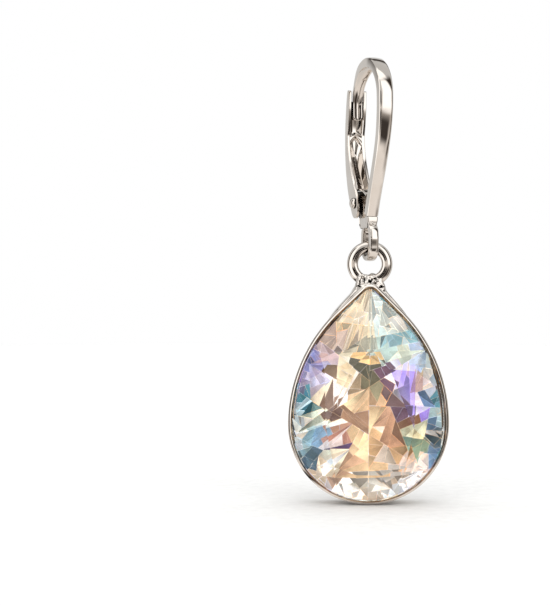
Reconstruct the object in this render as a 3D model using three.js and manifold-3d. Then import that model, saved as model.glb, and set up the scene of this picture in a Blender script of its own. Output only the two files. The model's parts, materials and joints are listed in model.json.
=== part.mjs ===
// A leverback drop earring: a cast ear hook with a hanging loop, a channelled lever that pivots on a
// rivet and shuts on the tip of the hook, and a pendant that swings on the loop. The pendant is a
// pear-shaped bezel cup with a ring soldered to its point, holding a faceted pear-cut crystal.
//
// Millimetres, +Z up. The front is -Y and the hook's arch lies in the plane X = 0. The origin is the
// underside of the arch's crown, which is the place that rests in the ear lobe.

import * as THREE from 'three';
import { mergeVertices } from 'three/addons/utils/BufferGeometryUtils.js';
import Module from 'manifold-3d';

const wasm = await Module();
wasm.setup();

// ---------- driving dimensions ----------

// Ear hook: the arch is a half circle, and the bar runs down from its front end.
const ARCH_INNER_RADIUS = 2.93;
const ARCH_STEPS = 18;
// The strap along the arch, from its back end to its front end, as shares of the half circle.
const ARCH_SECTIONS = [
  { share: 0.0, width: 0.84, thickness: 0.4 },
  { share: 0.15, width: 0.92, thickness: 0.5 },
  { share: 0.4, width: 1.16, thickness: 0.8 },
  { share: 0.55, width: 1.25, thickness: 0.84 },
  { share: 1.0, width: 1.26, thickness: 0.72 },
];
// Centre line of the tip behind the arch and of the bar in front of it, with the strap's section.
const TIP_STATIONS = [
  { y: 3.1, z: -4.08, width: 0.46, thickness: 0.2 },
  { y: 3.1, z: -4.0, width: 0.7, thickness: 0.32 },
  { y: 3.1, z: -3.8, width: 0.82, thickness: 0.38 },
  { y: 3.12, z: -3.3, width: 0.84, thickness: 0.4 },
];
const BAR_STATIONS = [
  { y: -3.27, z: -4.0, width: 1.24, thickness: 0.72 },
  { y: -3.12, z: -5.2, width: 1.2, thickness: 0.72 },
  { y: -2.84, z: -6.4, width: 1.14, thickness: 0.74 },
  { y: -2.42, z: -7.6, width: 1.1, thickness: 0.76 },
  { y: -1.88, z: -8.9, width: 1.08, thickness: 0.78 },
  { y: -1.28, z: -10.2, width: 1.04, thickness: 0.8 },
  { y: -0.66, z: -11.6, width: 1.02, thickness: 0.82 },
  { y: -0.24, z: -12.66, width: 1.02, thickness: 0.84 },
];
// Collar at the bar's foot: it starts in a groove and narrows to the loop's front strand.
const COLLAR_BACK = 0;
const COLLAR_BEVEL = 0.1;
const COLLAR_ROWS = [
  { z: -12.5, front: -0.56, width: 0.88 },
  { z: -12.78, front: -0.5, width: 0.88 },
  { z: -12.82, front: -0.58, width: 0.98 },
  { z: -13.4, front: -0.6, width: 0.93 },
  { z: -13.75, front: -0.62, width: 0.82 },
];

// Web behind the bar: it carries the rivet, with a notch in front of the rivet's boss.
const WEB_WIDTH = 0.9;
const WEB_NOTCH = [
  { y: -0.75, z: -11.1 },
  { y: 0.1, z: -12.0 },
];
const WEB_HEEL = [
  { y: 1.5, z: -12.73 },
  { y: 1.5, z: -13.3 },
  { y: 1.36, z: -13.6 },
  { y: 1.1, z: -13.8 },
  { y: -0.4, z: -13.8 },
  { y: -0.45, z: -12.7 },
];
const BOSS_RADIUS = 0.85;

// Loop under the hook: an upright oval that the pendant's ring hangs in.
const LOOP_Y = 0.12;
const LOOP_DEPTH = 2.16;
const LOOP_TOP = -13.25;
const LOOP_BOTTOM = -16.62;
const LOOP_STRAND = 0.44;
const LOOP_WIDTH = 0.82;

// Rivet: the pin of the lever's hinge, headed on both sides.
const RIVET_Y = 1.73;
const RIVET_Z = -11.53;
const RIVET_RADIUS = 0.3;
const RIVET_CLEARANCE = 0.06;
const RIVET_HEAD_RADIUS = 0.48;
const RIVET_HEAD_HEIGHT = 0.34;

// Lever: a thin channel, open to the front, whose side walls grow into two ears round the rivet.
const LEVER_WIDTH = 1.68;
const LEVER_WALL = 0.27;
const LEVER_FLOOR = 0.24;
// Its side view, from the top of the fork to the foot of the ears.
const LEVER_STATIONS = [
  { z: -1.46, back: 3.3, front: 3.1 },
  { z: -1.62, back: 3.48, front: 2.96 },
  { z: -2.3, back: 3.66, front: 2.95 },
  { z: -3.2, back: 3.8, front: 3.0 },
  { z: -4.5, back: 3.97, front: 3.17 },
  { z: -5.4, back: 4.02, front: 3.36 },
  { z: -6.4, back: 4.02, front: 3.3 },
  { z: -7.6, back: 3.95, front: 2.98 },
  { z: -8.6, back: 3.8, front: 2.56 },
  { z: -9.6, back: 3.56, front: 2.08 },
  { z: -10.5, back: 3.28, front: 1.54 },
  { z: -11.3, back: 2.92, front: 1.14 },
  { z: -12.0, back: 2.6, front: 1.0 },
  { z: -12.6, back: 2.18, front: 1.14 },
  { z: -12.84, back: 1.86, front: 1.46 },
];
const LEVER_FLOOR_TOP = -2.4;
const FORK_POCKET_BOTTOM = -5.5;
const LOWER_POCKET_TOP = -6.15;
const LEVER_FLOOR_END = -10.6;
// Tongue at the foot of the floor: it bends forward over the boss and snaps against the bar.
const TONGUE_WIDTH = 0.92;
const TONGUE_THICKNESS = 0.22;
const TONGUE_LINE = [
  { y: 3.1, z: -10.3 },
  { y: 2.5, z: -10.38 },
  { y: 1.7, z: -10.36 },
  { y: 0.9, z: -10.46 },
  { y: 0.3, z: -10.72 },
  { y: -0.1, z: -11.0 },
];

// Pendant: it is turned on the loop, away from the hook's own plane.
const PENDANT_TWIST = THREE.MathUtils.degToRad(17.6);
const RING_CENTRE_Z = -16.87;
const RING_RADIUS = 1.49;
const RING_WIRE_RADIUS = 0.48;
const RING_FLATTENING = 0.64;
const PENDANT_LEAN = THREE.MathUtils.degToRad(0.8);

// Bezel cup: a pear outline of a round belly, two flank arcs, straight shoulders and a blunt point.
const BELLY_RADIUS = 6.87;
const BELLY_CENTRE_Z = -30.56;
const FLANK_RADIUS = 13.5;
const FLANK_SWEEP = THREE.MathUtils.degToRad(46);
const POINT_RADIUS = 1.06;
// Outside of the cup from its lip to its closed back. Depth is measured forward from the ring.
const CUP_SECTIONS = [
  { depth: 1.25, inset: 0.07 },
  { depth: 1.13, inset: 0.0 },
  { depth: -0.9, inset: 0.12 },
  { depth: -1.75, inset: 0.38 },
  { depth: -2.05, inset: 0.85 },
];
// The seat for the stone, from the lip down. Its belly is fuller than the cup's, so that the lip
// thins from the shoulders to the foot.
const SEAT_FULLNESS = 0.05;
const SEAT_SECTIONS = [
  { depth: 1.8, inset: 0.28 },
  { depth: 1.1, inset: 0.3 },
  { depth: 0.55, inset: 0.34 },
  { depth: -1.65, inset: 1.1 },
];

// Solder that joins the ring's foot to the cup, flaring down along both shoulders.
const SOLDER_ROWS = [
  { z: -17.85, half: 1.12, front: 0.4, back: -0.4 },
  { z: -18.5, half: 1.18, front: 0.6, back: -0.62 },
  { z: -19.15, half: 1.42, front: 0.86, back: -0.95 },
  { z: -19.8, half: 1.98, front: 0.98, back: -1.1 },
  { z: -20.5, half: 2.6, front: 0.98, back: -1.1 },
  { z: -21.25, half: 3.2, front: 0.92, back: -1.0 },
  { z: -22.1, half: 3.72, front: 0.8, back: -0.85 },
];
const SOLDER_CORNER = 0.3;

// Stone: a pear-cut crystal. Corners of one half of its crown, measured from the belly's centre:
// across from the centre line, up, and rise as a share of the table's height.
const STONE_INSET = 0.44;
const STONE_FULLNESS = 0.08;
const STONE_GIRDLE_DEPTH = 0.95;
const STONE_GIRDLE_HEIGHT = 0.3;
const STONE_CROWN_HEIGHT = 1.75;
const STONE_PAVILION_DEPTH = 2.1;
const STONE_PAVILION_INSET = 4.2;
const CROWN_CORNERS = {
  point: { across: 0, up: 11.3, rise: 0 },
  tableTop: { across: 0, up: 6.4, rise: 1 },
  tableShoulder: { across: 1.62, up: 4.78, rise: 1 },
  starOuter: { across: 3.86, up: 4.55, rise: 0.585 },
  shoulderGirdle: { across: 4.4, up: 7.2, rise: 0 },
  sideGirdle: { across: 5.7, up: 3.4, rise: 0 },
  tableSide: { across: 3.72, up: -0.2, rise: 1 },
  bellyGirdle: { across: 6.38, up: -0.9, rise: 0 },
  starLower: { across: 5.1, up: -1.9, rise: 0.5 },
  tableLow: { across: 2.98, up: -3.5, rise: 1 },
  lowGirdle: { across: 5.34, up: -3.6, rise: 0.1 },
  footSide: { across: 2.6, up: -5.95, rise: 0.1 },
  tableFoot: { across: 1.1, up: -4.15, rise: 1 },
  footGirdle: { across: 0, up: -6.55, rise: 0.05 },
};
// Each crown facet is the flat through three of those corners; a minus names the mirrored one.
const CROWN_FACETS = [
  ['point', 'tableTop', 'tableShoulder'],
  ['tableShoulder', 'starOuter', 'tableSide'],
  ['starOuter', 'shoulderGirdle', 'sideGirdle'],
  ['starOuter', 'sideGirdle', 'tableSide'],
  ['tableSide', 'sideGirdle', 'bellyGirdle'],
  ['tableSide', 'starLower', 'tableLow'],
  ['starLower', 'lowGirdle', 'tableLow'],
  ['tableLow', 'lowGirdle', 'footSide'],
  ['tableLow', 'footSide', 'tableFoot'],
  ['tableFoot', '-tableFoot', 'footGirdle'],
];

// ---------- shared shape functions ----------

/** A manifold solid from a closed three.js geometry. */
function solid(geometry) {
  const bare = geometry.index ? geometry.toNonIndexed() : geometry.clone();
  for (const name of Object.keys(bare.attributes)) {
    if (name !== 'position') bare.deleteAttribute(name);
  }
  const merged = mergeVertices(bare, 1e-5);
  const mesh = new wasm.Mesh({
    numProp: 3,
    vertProperties: new Float32Array(merged.attributes.position.array),
    triVerts: new Uint32Array(merged.index.array),
  });
  return new wasm.Manifold(mesh);
}

/** A three.js geometry from a manifold solid. */
function geometryOf(body) {
  const mesh = body.getMesh();
  const geometry = new THREE.BufferGeometry();
  geometry.setAttribute('position', new THREE.BufferAttribute(mesh.vertProperties, 3));
  geometry.setIndex(new THREE.BufferAttribute(mesh.triVerts, 1));
  geometry.computeVertexNormals();
  return geometry;
}

/** A closed skin over rings of points that all have the same number of points. */
function loft(rings) {
  const count = rings[0].length;
  const middle = (ring) => ring.reduce((sum, p) => sum.add(p), new THREE.Vector3()).divideScalar(count);
  const points = [...rings.flat(), middle(rings[0]), middle(rings.at(-1))];
  const startCentre = rings.length * count;
  const endCentre = startCentre + 1;
  const index = [];
  for (let r = 0; r < rings.length - 1; r += 1) {
    for (let i = 0; i < count; i += 1) {
      const a = r * count + i;
      const b = r * count + ((i + 1) % count);
      index.push(a, b, b + count, a, b + count, a + count);
    }
  }
  const lastRing = (rings.length - 1) * count;
  for (let i = 0; i < count; i += 1) {
    const next = (i + 1) % count;
    index.push(startCentre, next, i);
    index.push(endCentre, lastRing + i, lastRing + next);
  }
  const geometry = new THREE.BufferGeometry();
  geometry.setFromPoints(points);
  geometry.setIndex(index);
  return geometry;
}

/** A solid from an outline in the Y-Z plane, as thick as width and centred on X = 0. */
function sidePlate(outline, width) {
  const shape = new THREE.Shape(outline.map((p) => new THREE.Vector2(p.y, p.z)));
  const geometry = new THREE.ExtrudeGeometry(shape, { depth: width, bevelEnabled: false });
  geometry.translate(0, 0, -width / 2);
  // The shape's x, y and depth become Y, Z and X.
  geometry.applyMatrix4(new THREE.Matrix4().set(0, 0, 1, 0, 1, 0, 0, 0, 0, 1, 0, 0, 0, 0, 0, 1));
  return solid(geometry);
}

/** A round bar along X between two places. */
function crossPin(y, z, radius, length, segments) {
  const geometry = new THREE.CylinderGeometry(radius, radius, length, segments);
  geometry.rotateZ(Math.PI / 2);
  geometry.translate(0, y, z);
  return solid(geometry);
}

/** Points of an arc in the Y-Z plane. */
function arcPoints(centreY, centreZ, radius, fromDegrees, toDegrees, steps) {
  return Array.from({ length: steps + 1 }, (_, i) => {
    const angle = THREE.MathUtils.degToRad(fromDegrees + ((toDegrees - fromDegrees) * i) / steps);
    return { y: centreY + radius * Math.cos(angle), z: centreZ + radius * Math.sin(angle) };
  });
}

// ---------- ear hook ----------

/** The strap's cross-section: flat inside and sides, and a domed outer face between two bevels. */
function strapSection(width, thickness) {
  const half = width / 2;
  const deep = thickness / 2;
  const bevel = Math.min(0.12, width * 0.14, thickness * 0.3);
  const dome = bevel * 0.9;
  return [
    { across: -half + bevel * 0.6, out: -deep },
    { across: half - bevel * 0.6, out: -deep },
    { across: half, out: -deep + bevel * 0.6 },
    { across: half, out: deep - bevel * 1.5 },
    { across: half - bevel, out: deep - dome * 0.6 },
    { across: half * 0.45, out: deep - dome * 0.12 },
    { across: 0, out: deep },
    { across: -half * 0.45, out: deep - dome * 0.12 },
    { across: -half + bevel, out: deep - dome * 0.6 },
    { across: -half, out: deep - bevel * 1.5 },
    { across: -half, out: -deep + bevel * 0.6 },
  ];
}

/** The strap's stations from its tip, over the arch and down the bar. */
function strapStations() {
  const arch = Array.from({ length: ARCH_STEPS + 1 }, (_, i) => {
    const share = i / ARCH_STEPS;
    const next = Math.max(ARCH_SECTIONS.findIndex((section) => section.share >= share), 1);
    const from = ARCH_SECTIONS[next - 1];
    const to = ARCH_SECTIONS[next];
    const blend = THREE.MathUtils.smoothstep(share, from.share, to.share);
    const thickness = THREE.MathUtils.lerp(from.thickness, to.thickness, blend);
    const radius = ARCH_INNER_RADIUS + thickness / 2;
    return {
      y: radius * Math.cos(Math.PI * share),
      z: radius * Math.sin(Math.PI * share) - ARCH_INNER_RADIUS,
      width: THREE.MathUtils.lerp(from.width, to.width, blend),
      thickness,
    };
  });
  return [...TIP_STATIONS, ...arch, ...BAR_STATIONS];
}

function strap() {
  const stations = strapStations();
  const rings = stations.map((station, i) => {
    const before = stations[Math.max(i - 1, 0)];
    const after = stations[Math.min(i + 1, stations.length - 1)];
    const along = new THREE.Vector3(0, after.y - before.y, after.z - before.z).normalize();
    // The outer side lies to the left of the way from the tip to the bar.
    const out = new THREE.Vector3(0, along.z, -along.y);
    return strapSection(station.width, station.thickness).map((p) =>
      new THREE.Vector3(p.across, station.y + out.y * p.out, station.z + out.z * p.out));
  });
  return solid(loft(rings));
}

/** The web's outline: from the bar into a notch, round the rivet's boss and down to the loop. */
function webOutline() {
  return [
    ...WEB_NOTCH,
    ...arcPoints(RIVET_Y, RIVET_Z, BOSS_RADIUS, 160, -60, 12),
    ...WEB_HEEL,
  ].reverse();
}

/** The loop's outline: an upright stadium, shrunk by an inset for its hole. */
function loopOutline(inset) {
  const radius = LOOP_DEPTH / 2 - inset;
  const topCentre = LOOP_TOP - LOOP_DEPTH / 2;
  const bottomCentre = LOOP_BOTTOM + LOOP_DEPTH / 2;
  return [
    ...arcPoints(LOOP_Y, topCentre, radius, 0, 180, 12),
    ...arcPoints(LOOP_Y, bottomCentre, radius, 180, 360, 12),
  ];
}

/** The collar as bevelled blocks of one width after another, down the bar's foot. */
function collar() {
  const rings = COLLAR_ROWS.map((row) => {
    const half = row.width / 2;
    return [
      new THREE.Vector3(-half, COLLAR_BACK, row.z),
      new THREE.Vector3(-half, row.front + COLLAR_BEVEL, row.z),
      new THREE.Vector3(-half + COLLAR_BEVEL, row.front, row.z),
      new THREE.Vector3(half - COLLAR_BEVEL, row.front, row.z),
      new THREE.Vector3(half, row.front + COLLAR_BEVEL, row.z),
      new THREE.Vector3(half, COLLAR_BACK, row.z),
    ];
  });
  return solid(loft(rings.reverse()));
}

function earHook() {
  const rivetHole = crossPin(RIVET_Y, RIVET_Z, RIVET_RADIUS + RIVET_CLEARANCE, 3, 20);
  const loop = sidePlate(loopOutline(0), LOOP_WIDTH);
  const loopHole = sidePlate(loopOutline(LOOP_STRAND), 3);
  return strap()
    .add(sidePlate(webOutline(), WEB_WIDTH))
    .add(collar())
    .add(loop)
    .subtract(loopHole)
    .subtract(rivetHole);
}

// ---------- rivet ----------

function rivet() {
  const innerHalf = LEVER_WIDTH / 2 + RIVET_CLEARANCE;
  const steps = 4;
  const dome = (side) => Array.from({ length: steps + 1 }, (_, i) => {
    const angle = (Math.PI / 2) * (i / steps);
    const radius = RIVET_HEAD_RADIUS * Math.cos(angle);
    const x = innerHalf + RIVET_HEAD_HEIGHT * Math.sin(angle);
    return new THREE.Vector2(i === steps ? 0 : radius, side * x);
  });
  const profile = [
    ...dome(-1).reverse(),
    new THREE.Vector2(RIVET_RADIUS, -innerHalf),
    new THREE.Vector2(RIVET_RADIUS, innerHalf),
    ...dome(1),
  ];
  const geometry = new THREE.LatheGeometry(profile, 20);
  geometry.rotateZ(-Math.PI / 2);
  geometry.translate(0, RIVET_Y, RIVET_Z);
  return solid(geometry);
}

// ---------- lever ----------

/** The lever's place at a height, read between two of its stations. */
function leverAt(z) {
  const next = LEVER_STATIONS.findIndex((station) => station.z <= z);
  const high = LEVER_STATIONS[Math.max(next - 1, 0)];
  const low = LEVER_STATIONS[Math.max(next, 0)];
  const share = high === low ? 0 : (high.z - z) / (high.z - low.z);
  return {
    back: THREE.MathUtils.lerp(high.back, low.back, share),
    front: THREE.MathUtils.lerp(high.front, low.front, share),
  };
}

/** A pocket between the lever's walls, from one height to another, open to the front. */
function leverPocket(top, bottom) {
  const steps = 8;
  const rows = Array.from({ length: steps + 1 }, (_, i) => top + ((bottom - top) * i) / steps);
  const floor = rows.map((z) => ({ y: leverAt(z).back - LEVER_FLOOR, z }));
  const mouth = 4;
  const outline = [...floor, { y: -mouth, z: bottom }, { y: -mouth, z: top }];
  return sidePlate(outline.reverse(), LEVER_WIDTH - 2 * LEVER_WALL);
}

/** The tongue as a bent strip, drawn along its middle line. */
function tongue() {
  const half = TONGUE_THICKNESS / 2;
  const upper = TONGUE_LINE.map((p) => ({ y: p.y, z: p.z + half }));
  const lower = TONGUE_LINE.map((p) => ({ y: p.y, z: p.z - half }));
  return sidePlate([...upper, ...lower.reverse()].reverse(), TONGUE_WIDTH);
}

function lever() {
  const front = LEVER_STATIONS.map((station) => ({ y: station.front, z: station.z }));
  const back = LEVER_STATIONS.map((station) => ({ y: station.back, z: station.z }));
  const body = sidePlate([...front, ...back.reverse()], LEVER_WIDTH);
  const earGap = sidePlate([
    { y: -1, z: LEVER_FLOOR_END },
    { y: -1, z: -14 },
    { y: 5, z: -14 },
    { y: 5, z: LEVER_FLOOR_END },
  ], LEVER_WIDTH - 2 * LEVER_WALL);
  const forkNotch = sidePlate([
    { y: -1, z: LEVER_FLOOR_TOP },
    { y: 5, z: LEVER_FLOOR_TOP },
    { y: 5, z: 0 },
    { y: -1, z: 0 },
  ], LEVER_WIDTH - 2 * LEVER_WALL);
  const pinHole = crossPin(RIVET_Y, RIVET_Z, RIVET_RADIUS + RIVET_CLEARANCE, 3, 20);
  return body
    .subtract(forkNotch)
    .subtract(leverPocket(LEVER_FLOOR_TOP, FORK_POCKET_BOTTOM))
    .subtract(leverPocket(LOWER_POCKET_TOP, LEVER_FLOOR_END))
    .subtract(earGap)
    .subtract(pinHole)
    .add(tongue());
}

// ---------- pendant ----------

/**
 * The pear outline shrunk by an inset, from the point round by the right flank and the belly.
 * Fullness swells the belly and lowers the whole outline by the same amount, so that the shoulders
 * stay where they are.
 */
function pearOutline(inset, fullness = 0) {
  const bellyRadius = BELLY_RADIUS + fullness;
  const flankCentre = FLANK_RADIUS - bellyRadius;
  const shoulder = Math.PI / 2 - FLANK_SWEEP;
  const flankEnd = {
    x: FLANK_RADIUS * Math.cos(FLANK_SWEEP) - flankCentre,
    z: FLANK_RADIUS * Math.sin(FLANK_SWEEP),
  };
  const sharpPoint = flankEnd.z + flankEnd.x * Math.tan(shoulder);
  const pointCentre = sharpPoint - POINT_RADIUS / Math.cos(shoulder);
  const pointRadius = Math.max(POINT_RADIUS - inset, 0.02);
  const pointDrop = Math.max(inset - POINT_RADIUS, 0) / Math.cos(shoulder);
  const arc = (cx, cz, radius, from, to, steps, keepLast) =>
    Array.from({ length: steps + (keepLast ? 1 : 0) }, (_, i) => {
      const angle = from + ((to - from) * i) / steps;
      return { x: cx + radius * Math.cos(angle), z: cz - fullness + radius * Math.sin(angle) };
    });
  const pointFrom = Math.PI / 2;
  const right = [
    ...arc(0, pointCentre - pointDrop, pointRadius, pointFrom, FLANK_SWEEP, 4, true),
    ...arc(-flankCentre, 0, FLANK_RADIUS - inset, FLANK_SWEEP, 0, 9, false),
    ...arc(0, 0, bellyRadius - inset, 0, -Math.PI / 2, 12, true),
  ];
  const left = right.slice(1, -1).reverse().map((p) => ({ x: -p.x, z: p.z }));
  return [...right, ...left];
}

/** A solid through pear outlines at several depths, deepest last. */
function pearLoft(sections, fullness = 0) {
  const rings = sections.map((section) => pearOutline(section.inset, fullness).map((p) =>
    new THREE.Vector3(p.x, -section.depth, BELLY_CENTRE_Z - RING_CENTRE_Z + p.z)));
  return solid(loft(rings));
}

/** The solder: level slices with cut corners, wide across the shoulders and thin at the ring. */
function solderWeb() {
  const rings = SOLDER_ROWS.map((row) => {
    const z = row.z - RING_CENTRE_Z;
    const cut = SOLDER_CORNER;
    const corners = [
      { across: row.half, deep: row.front - cut },
      { across: row.half - cut, deep: row.front },
      { across: -row.half + cut, deep: row.front },
      { across: -row.half, deep: row.front - cut },
      { across: -row.half, deep: row.back + cut },
      { across: -row.half + cut, deep: row.back },
      { across: row.half - cut, deep: row.back },
      { across: row.half, deep: row.back + cut },
    ];
    return corners.map((p) => new THREE.Vector3(p.across, -p.deep, z));
  });
  return solid(loft(rings));
}

function setting() {
  const ring = new THREE.TorusGeometry(RING_RADIUS, RING_WIRE_RADIUS, 12, 36);
  ring.scale(1, 1, RING_FLATTENING);
  ring.rotateX(Math.PI / 2);
  return pearLoft(CUP_SECTIONS)
    .add(solderWeb())
    .subtract(pearLoft(SEAT_SECTIONS, SEAT_FULLNESS))
    .add(solid(ring));
}

/** A crown corner as a point, on the right half or mirrored to the left. */
function crownCorner(name, side) {
  const mirrored = name.startsWith('-');
  const corner = CROWN_CORNERS[mirrored ? name.slice(1) : name];
  const across = (mirrored ? -side : side) * corner.across;
  const depth = STONE_GIRDLE_DEPTH + corner.rise * STONE_CROWN_HEIGHT;
  return new THREE.Vector3(across, -depth, BELLY_CENTRE_Z - RING_CENTRE_Z + corner.up);
}

function stone() {
  const tableDepth = STONE_GIRDLE_DEPTH + STONE_CROWN_HEIGHT;
  const girdleFoot = STONE_GIRDLE_DEPTH - STONE_GIRDLE_HEIGHT;
  let body = pearLoft([
    { depth: tableDepth, inset: STONE_INSET },
    { depth: girdleFoot, inset: STONE_INSET },
    { depth: girdleFoot - STONE_PAVILION_DEPTH, inset: STONE_PAVILION_INSET },
  ], STONE_FULLNESS);
  const inside = new THREE.Vector3(0, -STONE_GIRDLE_DEPTH, BELLY_CENTRE_Z - RING_CENTRE_Z);
  for (const facet of CROWN_FACETS) {
    for (const side of [1, -1]) {
      const plane = new THREE.Plane().setFromCoplanarPoints(...facet.map((n) => crownCorner(n, side)));
      if (plane.distanceToPoint(inside) < 0) plane.negate();
      body = body.trimByPlane(plane.normal.toArray(), -plane.constant);
    }
  }
  return body;
}

// ---------- the earring ----------

function metal(color) {
  return new THREE.MeshStandardMaterial({ color, roughness: 0.12, metalness: 1 });
}

function piece(name, body, material) {
  const mesh = new THREE.Mesh(geometryOf(body), material);
  mesh.name = name;
  return mesh;
}

const earring = new THREE.Group();
earring.add(piece('ear_hook', earHook(), metal('#d8d0c8')));
earring.add(piece('rivet', rivet(), metal('#cfcac4')));
earring.add(piece('lever', lever(), metal('#d2ccc5')));

const pendant = new THREE.Group();
pendant.position.set(0, LOOP_Y, RING_CENTRE_Z);
pendant.rotation.order = 'ZYX';
pendant.rotation.z = -PENDANT_TWIST;
pendant.rotation.y = PENDANT_LEAN;
pendant.add(piece('setting', setting(), metal('#cbc2b8')));
pendant.add(piece('stone', stone(), new THREE.MeshStandardMaterial({
  color: '#d9b98f', roughness: 0.05, metalness: 0,
})));
earring.add(pendant);

export default earring;
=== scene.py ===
import json
import math
import random

import bmesh
import bpy
from mathutils import Matrix, Vector, noise


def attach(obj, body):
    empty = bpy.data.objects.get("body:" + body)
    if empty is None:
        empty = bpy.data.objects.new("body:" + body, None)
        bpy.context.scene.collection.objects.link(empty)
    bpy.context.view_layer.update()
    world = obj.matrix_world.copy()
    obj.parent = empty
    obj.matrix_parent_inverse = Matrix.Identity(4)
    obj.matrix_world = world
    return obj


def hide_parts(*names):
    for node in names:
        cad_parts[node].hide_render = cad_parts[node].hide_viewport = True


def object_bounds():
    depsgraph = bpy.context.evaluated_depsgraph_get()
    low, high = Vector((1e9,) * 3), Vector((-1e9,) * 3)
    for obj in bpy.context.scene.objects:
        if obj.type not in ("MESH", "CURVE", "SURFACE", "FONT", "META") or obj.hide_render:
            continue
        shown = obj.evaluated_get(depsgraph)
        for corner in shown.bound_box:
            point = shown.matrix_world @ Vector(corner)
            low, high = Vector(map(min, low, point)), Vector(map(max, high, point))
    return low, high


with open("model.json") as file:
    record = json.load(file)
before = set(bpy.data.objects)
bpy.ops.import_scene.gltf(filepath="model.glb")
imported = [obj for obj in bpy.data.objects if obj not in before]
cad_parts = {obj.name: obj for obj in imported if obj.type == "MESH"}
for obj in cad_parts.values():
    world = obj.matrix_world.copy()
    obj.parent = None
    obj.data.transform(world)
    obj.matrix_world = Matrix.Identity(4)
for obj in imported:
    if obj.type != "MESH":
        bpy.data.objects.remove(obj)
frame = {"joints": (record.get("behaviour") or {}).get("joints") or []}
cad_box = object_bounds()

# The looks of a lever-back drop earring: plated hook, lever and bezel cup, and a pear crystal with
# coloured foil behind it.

# ---------- camera ----------
# A long lens, level, a little below the earring's middle. The pendant's swing axis lies across the
# view, so the stone's table faces the camera squarely and the hook is seen turned.

MM = 0.001
CAMERA_DISTANCE = 105 * MM
CAMERA_HEIGHT = -20.19 * MM
EARRING_OFF_CENTRE = 8.17 * MM
FOCAL_LENGTH = 72.5
SENSOR_WIDTH = 36.0
NEAREST_SEEN = 5 * MM

joints = {joint["name"]: joint for joint in frame["joints"]}
across_view = Vector(joints["pendant_swing"]["axis"]).normalized()
along_view = Vector((-across_view.y, across_view.x, 0.0))
swing_point = Vector(joints["pendant_swing"]["pos_m"])

camera = bpy.data.objects.new("camera", bpy.data.cameras.new("camera"))
camera.data.lens = FOCAL_LENGTH
camera.data.sensor_width = SENSOR_WIDTH
camera.data.clip_start = NEAREST_SEEN
stand_point = swing_point - along_view * CAMERA_DISTANCE - across_view * EARRING_OFF_CENTRE
camera.location = (stand_point.x, stand_point.y, CAMERA_HEIGHT)
camera.rotation_euler = (math.radians(90), 0.0, -math.atan2(along_view.x, along_view.y))
bpy.context.scene.collection.objects.link(camera)
bpy.context.scene.camera = camera
bpy.context.scene.view_settings.view_transform = "Standard"

# ---------- studio ----------
# A white tent of card over a warm table, with softboxes left, right and overhead. The gaps between
# its panels, beside the earring and high behind it draw the dark lines in the polished metal.


def linear(colour):
    """An sRGB hex colour as linear RGBA. Lamps and panels, which are linear already, stay."""
    if not isinstance(colour, str):
        return colour
    parts = [int(colour[i : i + 2], 16) / 255 for i in (1, 3, 5)]
    line = [p / 12.92 if p <= 0.04045 else ((p + 0.055) / 1.055) ** 2.4 for p in parts]
    return (*line, 1.0)


def plug(tree, made, sockets):
    """Sets a node's sockets to numbers or colours, or links them to an output or a node's first one."""
    for name, value in sockets.items():
        if isinstance(value, bpy.types.Node):
            value = value.outputs[0]
        if isinstance(value, bpy.types.NodeSocket):
            tree.links.new(value, made.inputs[name])
        else:
            made.inputs[name].default_value = value


def node(tree, kind, sockets=None, stops=(), **settings):
    """Adds a node with its settings and links. Stops are a colour ramp's (place, colour)."""
    made = tree.nodes.new(kind)
    for name, value in settings.items():
        setattr(made, name, value)
    plug(tree, made, sockets or {})
    for _ in stops[2:]:
        made.color_ramp.elements.new(0.5)
    for i, (place, colour) in enumerate(stops):
        made.color_ramp.elements[i].position = place
        made.color_ramp.elements[i].color = linear(colour)
    return made


def blank_finish(name):
    """A new material, its node tree and the tree's surface."""
    made = bpy.data.materials.new(name)
    made.use_nodes = True
    return made, made.node_tree, made.node_tree.nodes["Principled BSDF"]


SOFTBOX_WHITE = (1.6, 1.58, 1.55, 1.0)
WALL_BEIGE = (0.62, 0.57, 0.52, 1.0)
WALL_GREY = (0.7, 0.7, 0.69, 1.0)
WALL_BACK = (0.74, 0.74, 0.73, 1.0)
TABLE_WARM = (1.04, 0.98, 0.92, 1.0)
TABLE_NEAR = (0.95, 0.89, 0.83, 1.0)
LENS_WARM = (0.88, 0.82, 0.76, 1.0)
OVERHEAD_LAMP = (1.66, 1.7, 1.74, 1.0)
BACKDROP_WHITE = (1.0, 1.0, 1.0, 1.0)
SHADE = (0.06, 0.05, 0.044, 1.0)
GAP_BROWN = (0.05, 0.038, 0.03, 1.0)
GAP_DARK = (0.012, 0.009, 0.008, 1.0)

world = bpy.data.worlds.new("studio")
bpy.context.scene.world = world
world.use_nodes = True
sky = world.node_tree
sky.nodes.clear()
direction = node(sky, "ShaderNodeTexCoord").outputs["Generated"]
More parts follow.
